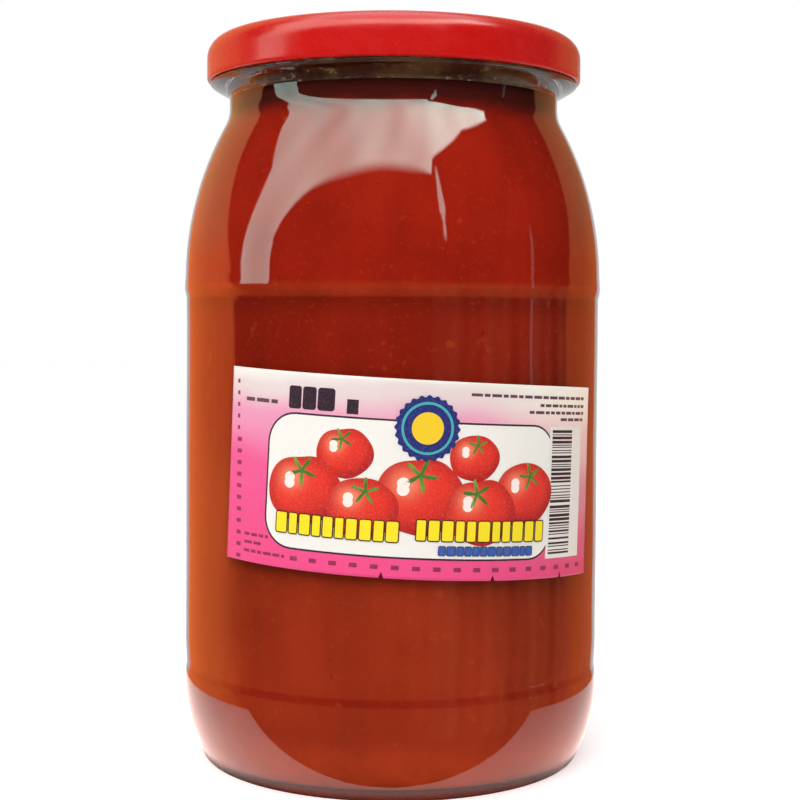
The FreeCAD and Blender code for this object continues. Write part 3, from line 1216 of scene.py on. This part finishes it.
class Ink(Enum):
    """Inks of the label, in linear light."""

    NIGHT = linear(52, 30, 44)
    PANEL = linear(242, 238, 230)
    STRIP = linear(238, 233, 224)
    YELLOW = linear(250, 226, 20)
    SHADE = linear(70, 26, 16)
    BLUE = linear(52, 92, 168)
    NAVY = linear(34, 42, 118)
    TEAL = linear(70, 172, 176)
    GOLD = linear(246, 204, 30)
    TYPE = linear(96, 62, 76)
    TICK = linear(150, 40, 84)
    RED = linear(232, 44, 26)
    DEEP = linear(176, 18, 14)
    PALE = linear(252, 160, 120)
    GLINT = linear(255, 236, 226)
    LEAF = linear(62, 112, 34)
    LEAF_LIGHT = linear(128, 168, 60)


@dataclass(frozen=True)
class LabelSizes:
    """Sizes of the label and of the places on it, in millimetres from its middle."""

    width: float = 91.5
    height: float = 40.8
    thickness: float = 0.15
    gap: float = 0.03
    middle: float = 67.57
    azimuth: float = 9.3
    tilt: float = 3.0
    nick_width: float = 1.0
    nick_depth: float = 1.3
    nicks: tuple = (0.405, 0.665, 0.875)
    panel: tuple = (-35.0, -16.3, 30.5, 12.1)
    panel_corner: float = 6.5
    panel_rule: float = 0.4
    strip: tuple = (29.0, -16.2, 41.5, 11.8)
    seal: tuple = (-0.9, 10.6)
    seal_radius: float = 6.6
    layer: float = 0.012


class Print:
    """Thin printed shapes, gathered into one mesh that follows the label."""

    def __init__(self, label: "Label") -> None:
        """Starts without any shape.

        Args:
            label: The label that wears the print.
        """
        self.label = label
        self.places: list[np.ndarray] = []
        self.faces: list[np.ndarray] = []
        self.tints: list[np.ndarray] = []
        self.count = 0

    def patch(self, flat: np.ndarray, tint, layer: int, closed: bool) -> None:
        """Adds a shape given as a grid of flat places.

        Args:
            flat: Grid of distances along and up.
            tint: One colour, or a colour for each place.
            layer: How many layers it lies over the paper.
            closed: Whether its columns join round.
        """
        sizes = self.label.sizes
        lift = sizes.gap + sizes.thickness + layer * sizes.layer
        rows, columns = flat.shape[:2]
        faces = grid_faces(rows, columns, closed)
        corner = flat.reshape(-1, 2)[faces]
        across = corner[:, 2] - corner[:, 0]
        over = corner[:, 3] - corner[:, 1]
        if np.sum(across[:, 0] * over[:, 1] - across[:, 1] * over[:, 0]) < 0:
            faces = faces[:, ::-1]
        shade = np.asarray(tint.value if isinstance(tint, Ink) else tint, float)
        colour = np.broadcast_to(shade, (rows, columns, 3))
        self.places.append(self.label.wrap(flat, lift).reshape(-1, 3))
        self.tints.append(colour.reshape(-1, 3))
        self.faces.append(faces + self.count)
        self.count += rows * columns

    def bar(self, x0: float, y0: float, x1: float, y1: float, tint, layer: int) -> None:
        """Prints a rectangle.

        Args:
            x0: Left edge.
            y0: Lower edge.
            x1: Right edge.
            y1: Upper edge.
            tint: Its colour.
            layer: How many layers it lies over the paper.
        """
        x = np.linspace(x0, x1, max(2, int((x1 - x0) / 0.9) + 2))
        y = np.linspace(y0, y1, max(2, int((y1 - y0) / 4) + 2))
        self.patch(np.stack(np.meshgrid(x, y), axis=-1), tint, layer, False)

    def disc(self, centre: tuple, reach, tint, layer: int, rings: int = 10, steps: int = 72) -> None:
        """Prints a shape whose edge lies at a distance from its middle that depends on the angle.

        Args:
            centre: Its middle.
            reach: Function of the angle giving the distance to the edge.
            tint: One colour, or a function of share of the reach and angle.
            layer: How many layers it lies over the paper.
            rings: Rings from the middle to the edge.
            steps: Steps round.
        """
        angle = round_angles(steps)
        share = np.linspace(0.0, 1.0, rings)[:, None]
        edge = reach(angle)[None, :] * share
        flat = np.stack((centre[0] + edge * np.cos(angle), centre[1] + edge * np.sin(angle)), axis=-1)
        colour = tint(share, angle[None, :]) if callable(tint) else tint
        self.patch(flat, colour, layer, True)

    def rounded(self, box: tuple, corner: float, tint, layer: int, rings: int = 22) -> None:
        """Prints a rectangle with round corners.

        Args:
            box: Left, lower, right and upper edge.
            corner: Radius of the corners.
            tint: One colour, or a function of the flat places.
            layer: How many layers it lies over the paper.
            rings: Rings from the middle to the edge.
        """
        x0, y0, x1, y1 = box
        middle = np.array(((x0 + x1) / 2, (y0 + y1) / 2))
        turns = np.linspace(0, math.pi / 2, 9)
        corners = [(x1, y1, 0), (x0, y1, 1), (x0, y0, 2), (x1, y0, 3)]
        ring = []
        for x, y, quarter in corners:
            inner = np.array((x, y)) + corner * np.sign(middle - (x, y))
            angle = turns + quarter * math.pi / 2
            ring.append(inner + corner * np.column_stack((np.cos(angle), np.sin(angle))))
        ring = np.vstack(ring)
        ring = np.vstack((ring, ring[:1]))
        length = np.concatenate(([0.0], np.cumsum(np.linalg.norm(np.diff(ring, axis=0), axis=1))))
        places = np.unique(np.concatenate((length, np.arange(0, length[-1], 1.0))))[:-1]
        edge = np.column_stack([np.interp(places, length, ring[:, k]) for k in (0, 1)])
        share = np.linspace(0, 1, rings)[:, None, None]
        flat = middle + share * (edge[None] - middle)
        self.patch(flat, tint(flat) if callable(tint) else tint, layer, True)

    def dashes(self, x0: float, x1: float, y: float, height: float, tint, seed: int) -> None:
        """Prints a row of dashes of uneven length, where a line of small type would be.

        Args:
            x0: Left end of the row.
            x1: Right end of the row.
            y: Middle height of the row.
            height: Height of a dash.
            tint: Its colour.
            seed: Picks one set of lengths.
        """
        rng = np.random.default_rng(seed)
        x = x0
        while x < x1 - height:
            long = min(x1 - x, rng.uniform(1.6, 4.2) * height)
            self.bar(x, y - height / 2, x + long, y + height / 2, tint, 1)
            x += long + height * 0.7

    def build(self) -> bpy.types.Object:
        """Writes the shapes as one piece.

        Returns:
            The piece.
        """
        piece = make_mesh(
            "label_print",
            np.vstack(self.places),
            np.vstack(self.faces),
            colour=np.vstack(self.tints),
            merge=False,
        )
        work = bmesh.new()
        work.from_mesh(piece.data)
        bmesh.ops.remove_doubles(work, verts=work.verts, dist=1e-8)
        work.to_mesh(piece.data)
        work.free()
        piece.data.materials.append(InkFinish().build())
        return piece


@dataclass(frozen=True)
class Fruit:
    """One printed tomato."""

    x: float
    y: float
    radius: float
    lean: float
    layer: int

    def edge(self, angle: np.ndarray) -> np.ndarray:
        """Gives the fruit's outline, wider than tall, with soft lobes.

        Args:
            angle: Angles round its middle.

        Returns:
            Distance to the edge.
        """
        wide = 1 / np.sqrt((np.cos(angle) / 1.08) ** 2 + (np.sin(angle) / 0.93) ** 2)
        lobes = 0.018 * np.cos(5 * angle + self.lean)
        dimple = 0.05 * np.exp(-(((angle - math.pi / 2 - self.lean / 3) / 0.42) ** 2))
        return self.radius * (wide + lobes - dimple)

    def skin(self, share: np.ndarray, angle: np.ndarray) -> np.ndarray:
        """Shades the skin from a pale side to a deep edge.

        Args:
            share: Share of the way to the edge.
            angle: Angle round the middle.

        Returns:
            Colours.
        """
        side = share * np.cos(angle - math.radians(-60) - self.lean * 0.2)
        dark = smooth_step(0.55, 1.0, share) * 0.55 + smooth_step(-0.1, 1.0, side) * 0.55
        glow = np.exp(-(((share * np.cos(angle) + 0.35) ** 2 + (share * np.sin(angle) - 0.3) ** 2) / 0.11))
        red, deep, pale = (np.array(ink.value) for ink in (Ink.RED, Ink.DEEP, Ink.PALE))
        mixed = red + (deep - red) * np.clip(dark, 0, 1)[..., None]
        return mixed + (pale - mixed) * (0.7 * glow)[..., None]

    def leaves(self, angle: np.ndarray) -> np.ndarray:
        """Gives the outline of the five-pointed calyx.

        Args:
            angle: Angles round its middle.

        Returns:
            Distance to the edge.
        """
        point = np.abs(np.cos(2.5 * (angle + self.lean)))
        return self.radius * (0.09 + 0.34 * point**5)

    def leaf_tint(self, share: np.ndarray, angle: np.ndarray) -> np.ndarray:
        """Shades the calyx from dark to light.

        Args:
            share: Share of the way to the edge.
            angle: Angle round the middle.

        Returns:
            Colours.
        """
        dark, light = np.array(Ink.LEAF.value), np.array(Ink.LEAF_LIGHT.value)
        mixed = 0.5 + 0.5 * np.sin(2.5 * angle + 3 * share + self.lean)
        return dark + (light - dark) * (mixed * share)[..., None]

    def draw(self, sheet: Print) -> None:
        """Prints the fruit.

        Args:
            sheet: The print that it belongs to.
        """
        centre = (self.x, self.y)
        sheet.disc(centre, self.edge, self.skin, self.layer, rings=14, steps=96)
        top = (self.x + self.radius * 0.25 * math.sin(-self.lean), self.y + self.radius * 0.5)
        sheet.disc(top, self.leaves, self.leaf_tint, self.layer + 1, rings=5, steps=120)
        glint = (self.x - self.radius * 0.42, self.y + self.radius * 0.22)
        size = self.radius * 0.13
        oval = lambda angle: size * (1 + 0.7 * np.abs(np.sin(angle)))
        sheet.disc(glint, oval, Ink.GLINT, self.layer + 1, rings=3, steps=24)


@dataclass(frozen=True)
class Label:
    """The paper label on the jar, and what is printed on it."""

    sizes: LabelSizes
    jar: Jar
    FRUIT = (
        Fruit(-17.6, 4.6, 5.6, 0.5, 3),
        Fruit(9.6, 4.9, 5.2, -0.4, 3),
        Fruit(-26.0, -3.6, 7.7, 0.3, 6),
        Fruit(22.4, -2.2, 7.0, -0.6, 6),
        Fruit(-1.6, -3.4, 8.6, 0.1, 9),
        Fruit(-13.4, -6.4, 6.9, -0.3, 12),
        Fruit(11.6, -6.2, 7.4, 0.7, 12),
    )

    def wrap(self, flat: np.ndarray, lift: float) -> np.ndarray:
        """Lays flat places on the glass.

        Args:
            flat: Distances along and up from the label's middle, last axis two.
            lift: Height over the glass.

        Returns:
            Places round the jar, last axis three.
        """
        s = self.sizes
        tilt = math.radians(-s.tilt)
        along, up = flat[..., 0], flat[..., 1]
        x = along * math.cos(tilt) - up * math.sin(tilt)
        z = s.middle + along * math.sin(tilt) + up * math.cos(tilt)
        theta = FRONT + math.radians(s.azimuth) + x / self.jar.sizes.body
        r = self.jar.sizes.body + self.jar.swell(theta, z) + lift
        return np.stack((r * np.cos(theta), r * np.sin(theta), z), axis=-1)

    def paper(self) -> bpy.types.Object:
        """Builds the sheet of paper, nicked along its lower edge.

        Returns:
            The piece.
        """
        s = self.sizes
        half = s.width / 2
        sides = (-s.nick_width / 2, 0, s.nick_width / 2)
        corners = [(2 * place - 1) * half + side for place in s.nicks for side in sides]
        along = np.unique(np.concatenate((np.linspace(-half, half, 161), corners)))
        cut = np.zeros(len(along))
        for place in s.nicks:
            away = np.abs(along - (2 * place - 1) * half) / (s.nick_width / 2)
            cut += s.nick_depth * np.clip(1 - away, 0, 1)
        low = -s.height / 2 + cut
        share = np.linspace(0, 1, 61)[:, None]
        up = low[None, :] + share * (s.height / 2 - low[None, :])
        flat = np.stack((np.broadcast_to(along, up.shape), up), axis=-1)
        front = self.wrap(flat, s.gap + s.thickness)
        back = self.wrap(flat, s.gap)
        rows, columns = up.shape
        one = rows * columns
        faces = grid_faces(rows, columns, False)
        edge = np.concatenate(
            (
                np.arange(columns),
                np.arange(1, rows) * columns + columns - 1,
                (rows - 1) * columns + np.arange(columns - 2, -1, -1),
                np.arange(rows - 2, 0, -1) * columns,
            )
        )
        after = np.roll(edge, -1)
        rim = np.column_stack((edge, after, after + one, edge + one))
        uv = np.stack((flat[..., 0] / s.width + 0.5, flat[..., 1] / s.height + 0.5), axis=-1).reshape(-1, 2)
        piece = make_mesh(
            "label_paper",
            np.vstack((front.reshape(-1, 3), back.reshape(-1, 3))),
            np.vstack((faces, faces[:, ::-1] + one, rim)),
            uv=np.vstack((uv, uv)),
        )
        piece.data.materials.append(PaperFinish().build())
        return piece

    def panel(self, sheet: Print) -> None:
        """Prints the pale panel with its dark rule and the row of fruit.

        Args:
            sheet: The print.
        """
        s = self.sizes
        x0, y0, x1, y1 = s.panel
        rule = s.panel_rule
        sheet.rounded(s.panel, s.panel_corner, Ink.NIGHT, 1)
        inner = (x0 + rule, y0 + rule, x1 - rule, y1 - rule)
        sheet.rounded(inner, s.panel_corner - rule, Ink.PANEL, 2)
        for fruit in self.FRUIT:
            fruit.draw(sheet)

    def blocks(
        self,
        sheet: Print,
        x0: float,
        x1: float,
        y: float,
        count: int,
        tall: float,
        tint: Ink,
        edge: Ink,
        layer: int,
    ) -> None:
        """Prints a row of upright blocks with an edge, where a large word would be.

        Args:
            sheet: The print.
            x0: Left end of the row.
            x1: Right end of the row.
            y: Middle height.
            count: How many blocks.
            tall: Height of a block.
            tint: Colour of the blocks.
            edge: Colour of their edge.
            layer: How many layers they lie over the paper.
        """
        rng = np.random.default_rng(count)
        widths = rng.uniform(0.8, 1.25, count)
        widths *= (x1 - x0) / (1.3 * widths.sum())
        gap = 0.3 * widths.mean()
        rim = min(0.26, gap * 0.4)
        left = x0
        for wide in widths:
            box = np.array((left, y - tall / 2, left + wide, y + tall / 2))
            corner = wide * 0.14
            sheet.rounded(tuple(box + (-rim, -rim, rim, rim)), corner + rim, edge, layer, 4)
            sheet.rounded(tuple(box), corner, tint, layer + 1, 4)
            left += wide + gap

    def strip(self, sheet: Print) -> None:
        """Prints the pale strip with its ladder of bars.

        Args:
            sheet: The print.
        """
        x0, y0, x1, y1 = self.sizes.strip
        sheet.bar(x0, y0, x1, y1, Ink.STRIP, 3)
        rng = np.random.default_rng(8)
        y = y0 + 0.9
        while y < y1 - 1.0:
            thick = rng.choice((0.22, 0.22, 0.42, 0.6))
            sheet.bar(x0 + 0.8, y, x1 - 4.2, y + thick, Ink.NIGHT, 4)
            y += thick + rng.choice((0.24, 0.3, 0.45, 0.6))

    def seal(self, sheet: Print) -> None:
        """Prints a plain round seal over the edge of the panel.

        Args:
            sheet: The print.
        """
        s = self.sizes
        radius = s.seal_radius
        sheet.disc(s.seal, lambda angle: radius * (1 + 0.035 * np.cos(24 * angle)), Ink.NAVY, 15, 6, 240)
        for number, (share, tint) in enumerate(((0.82, Ink.TEAL), (0.74, Ink.NAVY), (0.5, Ink.GOLD))):
            sheet.disc(s.seal, lambda angle: radius * share + 0 * angle, tint, 16 + number, 5, 64)

    def printed(self) -> bpy.types.Object:
        """Prints everything on the paper.

        Returns:
            The piece.
        """
        sheet = Print(self)
        s = self.sizes
        self.panel(sheet)
        self.strip(sheet)
        self.seal(sheet)
        self.blocks(sheet, -31.8, -5.1, -10.8, 10, 4.1, Ink.YELLOW, Ink.SHADE, 16)
        self.blocks(sheet, -2.0, 28.2, -10.2, 11, 4.1, Ink.YELLOW, Ink.SHADE, 16)
        self.blocks(sheet, 2.8, 25.1, -14.3, 12, 1.7, Ink.BLUE, Ink.NAVY, 16)
        self.blocks(sheet, -30.1, -19.6, 15.2, 3, 4.2, Ink.NIGHT, Ink.NIGHT, 1)
        sheet.bar(-17.6, 12.6, -15.2, 15.6, Ink.NIGHT, 1)
        sheet.dashes(-41.4, -32.0, 13.9, 0.8, Ink.TYPE, 1)
        for number, (left, up) in enumerate(((8.0, 17.9), (25.6, 16.2), (22.5, 14.7), (32.5, 13.3))):
            sheet.dashes(left, 42.7, up, 0.62, Ink.TYPE, 10 + number)
        for number, (right, up) in enumerate(((-34.0, -14.5), (-35.5, -16.2), (-29.7, -18.0))):
            sheet.dashes(-40.4, right, up, 0.62, Ink.TICK, 20 + number)
        for number, place in enumerate(np.linspace(0, 1, 16)):
            x, y = -44.2 + 1.5 * place, 17.4 - 36.8 * place
            sheet.bar(x, y - 0.42, x + (0.7 if number < 5 else 1.3), y + 0.42, Ink.TICK, 1)
        for number, place in enumerate(np.linspace(-27.5, 41.5, 17)):
            sheet.bar(place - 0.8, -18.6, place + 0.8, -17.7, Ink.TICK, 1)
        return sheet.build()


# ---------------------------------------------------------------- studio


@dataclass(frozen=True)
class CameraSizes:
    """Where the camera stands, in millimetres."""

    distance: float = 368.0
    height: float = 100.3
    lens: float = 71.05
    pitch: float = 1.5
    roll: float = 0.35
    shift_x: float = 0.01
    shift_y: float = -0.0488


@dataclass(frozen=True)
class StudioSizes:
    """Sizes and levels of the studio, in millimetres."""

    floor_half: float = 3000.0
    floor_gap: float = 0.03
    sheet_front: float = 46.5
    sheet_reach: float = 112.0
    sheet_from: tuple = (42.6, 46.0)
    sheet_height: float = 0.2
    sheet_lean: float = 0.14
    sheet_dim: float = 0.7
    sheet_dim_from: float = 60.0
    sheet_level: float = 2.1
    floor_glow: float = 0.36
    lamp_aim: float = 80.0
    dome_radius: float = 1500.0
    dome_middle: float = 100.0
    dark_level: float = 0.02
    wall_level: tuple = (2.4, 0.55, 0.13)
    high_wall_level: tuple = (1.5, 0.78, 0.34)
    right_share: float = 0.54
    window_tint: tuple = (0.84, 1.12, 1.0)
    sheet_tint: tuple = (1.08, 0.84, 0.78)
    room_level: tuple = (0.5, 0.22, 0.1)
    behind_level: float = 0.75
    below_level: float = 0.9
    ceiling_level: float = 3.0
    lamp_power: float = 10.0
    lamp_distance: float = 1200.0
    lamp_size: float = 900.0
    lamp_azimuth: float = -16.0
    lamp_elevation: float = 42.0


@dataclass(frozen=True)
class WindowShape:
    """The tall window, in degrees from the front and over the horizon as the jar sees it."""

    sweep_middle: float = -3.0
    sweep_reach: float = 68.0
    sweep_height: float = 41.1
    strip_height: float = 2.0
    strip_end: tuple = (-69.0, -67.5)
    notch: tuple = (24.0, 27.0)
    lintel: float = 43.5
    lintel_rise: float = 0.26
    lintel_top: float = 56.0
    lintel_fall: float = 0.077
    right_end: tuple = (82.0, 90.0)
    right_rise: float = 31.5
    side: float = -88.7
    side_lean: float = 7.2
    side_rise: tuple = (4.0, 32.0)
    side_slopes: tuple = (0.95, 0.47)
    side_bend: float = 43.0
    beam_middle: float = 28.0
    beam_level: float = 5.0

    def sill(self, azimuth: np.ndarray) -> np.ndarray:
        """Gives the window's lower edge.

        A strip on the left reaches down near the horizon. Then comes half an ellipse,
        height * sqrt(1 - ((azimuth - middle) / reach)^2), a notch, a lintel that rises to its
        top by one slope and falls by another, and a steep rise that closes it on the right.

        Args:
            azimuth: Degrees from the front, to the right.

        Returns:
            Degrees over the horizon.
        """
        across = (azimuth - self.sweep_middle) / self.sweep_reach
        sweep = self.sweep_height * np.sqrt(np.clip(1 - across**2, 0, 1))
        sill = self.strip_height + (sweep - self.strip_height) * smooth_step(*self.strip_end, azimuth)
        rising = self.lintel_rise * (np.minimum(azimuth, self.lintel_top) - self.notch[1])
        lintel = self.lintel + rising - self.lintel_fall * np.maximum(azimuth - self.lintel_top, 0)
        sill = sill + (lintel - sill) * smooth_step(*self.notch, azimuth)
        start, end = self.right_end
        return sill + self.right_rise * np.clip((azimuth - start) / (end - start), 0, 1)

    def left(self, elevation: np.ndarray) -> np.ndarray:
        """Gives the window's left side, which leans in and then falls back by two slopes.

        Args:
            elevation: Degrees over the horizon.

        Returns:
            Degrees from the front.
        """
        top = self.side_rise[1]
        lower, upper = self.side_slopes
        leaning = self.side + self.side_lean * smooth_step(*self.side_rise, elevation)
        back = lower * np.clip(elevation - top, 0, self.side_bend - top)
        return leaning - back - upper * np.maximum(elevation - self.side_bend, 0)


@dataclass(frozen=True)
class Studio:
    """The camera, floor, lamps and surroundings."""

    sizes: StudioSizes
    shape: WindowShape = WindowShape()

    def camera(self, sizes: CameraSizes) -> None:
        """Sets the camera in front of the jar.

        Args:
            sizes: Where the camera stands.
        """
        data = bpy.data.cameras.new("camera")
        data.lens = sizes.lens
        data.sensor_width = 36
        data.shift_x = sizes.shift_x
        data.shift_y = sizes.shift_y
        camera = bpy.data.objects.new("camera", data)
        upright = Matrix.Rotation(math.radians(90 - sizes.pitch), 4, "X")
        place = Matrix.Translation(Vector((0, -sizes.distance, sizes.height)) * MM)
        camera.matrix_world = place @ upright @ Matrix.Rotation(math.radians(sizes.roll), 4, "Z")
        bpy.context.scene.collection.objects.link(camera)
        bpy.context.scene.camera = camera

    def floor(self) -> None:
        """Lays a plain white floor, which polished surfaces see as the sheet below."""
        half = self.sizes.floor_half
        low = -self.sizes.floor_gap
        corners = np.array([(-half, -half, low), (half, -half, low), (half, half, low), (-half, half, low)])
        floor = make_mesh("floor", corners, np.array([[0, 1, 2, 3]]), merge=False)
        shader = Shader("white_floor")
        rays = shader.node("LightPath")
        body = shader.principled(
            Base_Color=(0.92, 0.92, 0.92),
            Roughness=0.7,
            Specular_IOR_Level=0.0,
            Emission_Color=(1.0, 1.0, 1.0),
            Emission_Strength=shader.math("MULTIPLY", rays.outputs["Is Camera Ray"], self.sizes.floor_glow),
        )
        floor.data.materials.append(shader.finish(body))
        floor.visible_glossy = False

    def sheet(self) -> None:
        """Lays the bright round sheet that the heel reflects, dark under the jar as a painted contact shadow;
        its front is cut off straight.
        """
        s = self.sizes
        turn = round_angles(240)[None, :]
        ahead = np.maximum(-np.sin(turn), 1e-6)
        edge = np.minimum(s.sheet_reach, s.sheet_front / ahead)
        share = np.linspace(0, 1, 60)[:, None]
        reach = edge * share
        places = np.stack((reach * np.cos(turn), reach * np.sin(turn), s.sheet_height + 0 * reach), axis=-1)
        # Painted contact shadow: the glow is nought under the jar and rises past sheet_from.
        level = s.sheet_level * smooth_step(*s.sheet_from, reach) * (1 - s.sheet_lean * np.cos(turn))
        level *= np.interp(reach, (s.sheet_dim_from, s.sheet_reach), (1.0, s.sheet_dim))
        sheet = make_mesh(
            "sheet",
            places.reshape(-1, 3),
            grid_faces(60, 240, True),
            colour=level.reshape(-1, 1) * np.array(s.sheet_tint),
            merge=False,
        )
        self.only_reflected(sheet)

    def only_reflected(self, piece: bpy.types.Object) -> None:
        """Makes a stage piece glow by its tint, and seen only by polished surfaces.

        Args:
            piece: The stage piece.
        """
        shader = Shader(piece.name + "_glow")
        glow = shader.node("Emission")
        shader.feed(glow.inputs["Color"], shader.node("Attribute", attribute_name="tint").outputs["Color"])
        piece.data.materials.append(shader.finish(glow))
        for kind in ("camera", "diffuse", "transmission", "volume_scatter", "shadow"):
            setattr(piece, "visible_" + kind, False)

    def world(self) -> None:
        """Surrounds the jar with white, dimmer from the front for soft light."""
        world = bpy.data.worlds.new("white_surround")
        world.use_nodes = True
        bpy.context.scene.world = world
        tree = world.node_tree
        background = tree.nodes["Background"]
        background.inputs["Color"].default_value = (1, 1, 1, 1)
        rays = tree.nodes.new("ShaderNodeLightPath")
        place = tree.nodes.new("ShaderNodeTexCoord")
        split = tree.nodes.new("ShaderNodeSeparateXYZ")
        dim = tree.nodes.new("ShaderNodeMapRange")
        for name, number in (("From Min", -0.6), ("From Max", 0.3), ("To Min", 0.25), ("To Max", 0.95)):
            dim.inputs[name].default_value = number
        pick = tree.nodes.new("ShaderNodeMix")
        tree.links.new(place.outputs["Generated"], split.inputs[0])
        tree.links.new(split.outputs[1], dim.inputs["Value"])
        tree.links.new(rays.outputs["Is Diffuse Ray"], pick.inputs[0])
        pick.inputs[2].default_value = 1.0
        tree.links.new(dim.outputs["Result"], pick.inputs[3])
        tree.links.new(pick.outputs[0], background.inputs["Strength"])

    def window(self, azimuth: np.ndarray, elevation: np.ndarray) -> np.ndarray:
        """Gives the brightness of the tall window high on the left.

        Args:
            azimuth: Degrees from the front, to the right.
            elevation: Degrees over the horizon.

        Returns:
            Brightness.
        """
        w = self.shape
        sill, left = w.sill(azimuth), w.left(elevation)
        soft = np.interp(azimuth, (-70, -50, -30, 12, 22, 30), (0.8, 1.5, 3.0, 3.0, 1.2, 0.8))
        inside = smooth_step(-1, 1, (elevation - sill) / soft) * smooth_step(-0.8, 0.8, azimuth - left)
        cloud = 1 + 0.12 * np.sin(azimuth / 9 + elevation / 14) + 0.08 * np.sin(azimuth / 4 - elevation / 7)
        level = np.interp(azimuth, (-90, -60, -30, 10, 45, 70), (4.0, 4.9, 6.2, 7.4, 10.3, 12.0))
        streak = np.interp(elevation, (9, 14, 20, 24, 30, 37), (0.15, 0.8, 0.6, 1.8, 1.6, 0.8))
        beam = smooth_step(-0.4, 0.4, streak - np.abs(azimuth - w.beam_middle))
        beam = w.beam_level * beam * smooth_step(12, 17, elevation) * (1 - smooth_step(37, 41, elevation))
        return np.maximum(level * cloud * inside, beam)

    def level(self, azimuth: np.ndarray, elevation: np.ndarray) -> np.ndarray:
        """Gives the colour of the surroundings that polished surfaces see.

        A dark room lies in front, warm walls on both sides and white behind.

        Args:
            azimuth: Degrees from the front, to the right.
            elevation: Degrees over the horizon.

        Returns:
            Colours.
        """
        s = self.sizes
        rise = np.clip(elevation, 0, 40)
        soft = np.interp(elevation, (-14, -2), (18, 1.5))
        left = smooth_step(-1, 1, (-azimuth - 94 - 0.7 * rise) / soft)
        right = smooth_step(-1, 1, (azimuth - 108 - 0.5 * rise) / soft) * s.right_share
        behind = smooth_step(-2.5, 2.5, np.abs(azimuth) - 151 - 0.45 * rise)[..., None]
        high = smooth_step(0, 14, elevation)[..., None]
        wall = np.array(s.wall_level) * (1 - high) + np.array(s.high_wall_level) * high
        far = np.interp(np.abs(azimuth), (105, 150), (1.0, 0.65))
        wall = (np.maximum(left, right) * far)[..., None] * wall
        upright = 0.5 + 0.5 * np.sin(azimuth / 2.3) * np.sin(azimuth / 5.1 + 1)
        upright = upright * smooth_step(5, 30, azimuth) * (1 - smooth_step(-1, 2, elevation))
        room = s.dark_level + upright[..., None] * np.array(s.room_level)
        room = np.maximum(room, wall) * (1 - behind) + s.behind_level * behind
        below = smooth_step(24, 34, -elevation)[..., None]
        below_level = np.interp(np.abs(azimuth), (85, 105), (0.05, s.below_level))[..., None]
        room = room * (1 - below) + below_level * below
        slot = smooth_step(-0.5, 0.5, 0.9 - np.abs(azimuth - 80)) * smooth_step(-8, -2, elevation)
        slot = 0.8 * slot * (1 - smooth_step(12, 18, elevation))
        ceiling = s.ceiling_level * smooth_step(56, 66, elevation)
        window = self.window(azimuth, elevation) * (1 - smooth_step(62, 72, elevation))
        tinted = window[..., None] * np.array(s.window_tint)
        return np.maximum(np.maximum(room, tinted), np.maximum(slot, ceiling)[..., None])

    def dome(self) -> None:
        """Builds the surroundings that only polished surfaces see."""
        s = self.sizes
        azimuth = np.linspace(-180, 180, 721)[None, :]
        elevation = np.concatenate((np.linspace(-90, -8, 20), np.linspace(-6, 90, 257)))[:, None]
        azimuth, elevation = np.broadcast_arrays(azimuth, elevation)
        turn, rise = np.radians(azimuth) + FRONT, np.radians(elevation)
        places = s.dome_radius * np.stack(
            (np.cos(rise) * np.cos(turn), np.cos(rise) * np.sin(turn), np.sin(rise)), axis=-1
        )
        places[..., 2] += s.dome_middle
        dome = make_mesh(
            "dome",
            places.reshape(-1, 3),
            grid_faces(*azimuth.shape, False),
            colour=self.level(azimuth, elevation).reshape(-1, 3),
            merge=False,
        )
        self.only_reflected(dome)

    def lamp(self) -> None:
        """Hangs the soft window light."""
        s = self.sizes
        data = bpy.data.lights.new("window_light", "AREA")
        data.shape = "SQUARE"
        data.size = s.lamp_size * MM
        data.energy = s.lamp_power
        lamp = bpy.data.objects.new("window_light", data)
        turn = FRONT + math.radians(s.lamp_azimuth)
        rise = math.radians(s.lamp_elevation)
        away = Vector((math.cos(rise) * math.cos(turn), math.cos(rise) * math.sin(turn), math.sin(rise)))
        lamp.location = away * s.lamp_distance * MM + Vector((0, 0, s.lamp_aim)) * MM
        lamp.rotation_euler = away.to_track_quat("Z", "Y").to_euler()
        lamp.visible_glossy = False
        lamp.visible_camera = False
        bpy.context.scene.collection.objects.link(lamp)


def main() -> None:
    """Builds the jar, dresses it and sets the studio."""
    logging.basicConfig(level=logging.INFO)
    bpy.context.scene.view_settings.view_transform = "Standard"
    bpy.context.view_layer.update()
    jar = Jar(JarSizes())
    label = Label(LabelSizes(), jar)
    pieces = (
        (jar.build(), "glass_jar", "jar_glass"),
        (Paste(PasteSizes(), jar).build(), "tomato_paste", "paste"),
        (Smear(SmearSizes(), jar).build(), "tomato_paste", "paste"),
        (Lid(LidSizes()).build(), "lid", "red_tinplate"),
        (label.paper(), "paper_label", "label_paper"),
        (label.printed(), "paper_label", "label_paper"),
    )
    for piece, node, slot in pieces:
        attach(piece, "root")
        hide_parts(node)
        LOG.info("%s has %d faces", piece.name, len(piece.data.polygons))
    studio = Studio(StudioSizes())
    studio.camera(CameraSizes())
    studio.floor()
    studio.sheet()
    studio.world()
    studio.dome()
    studio.lamp()


if __name__ == "__main__":
    main()
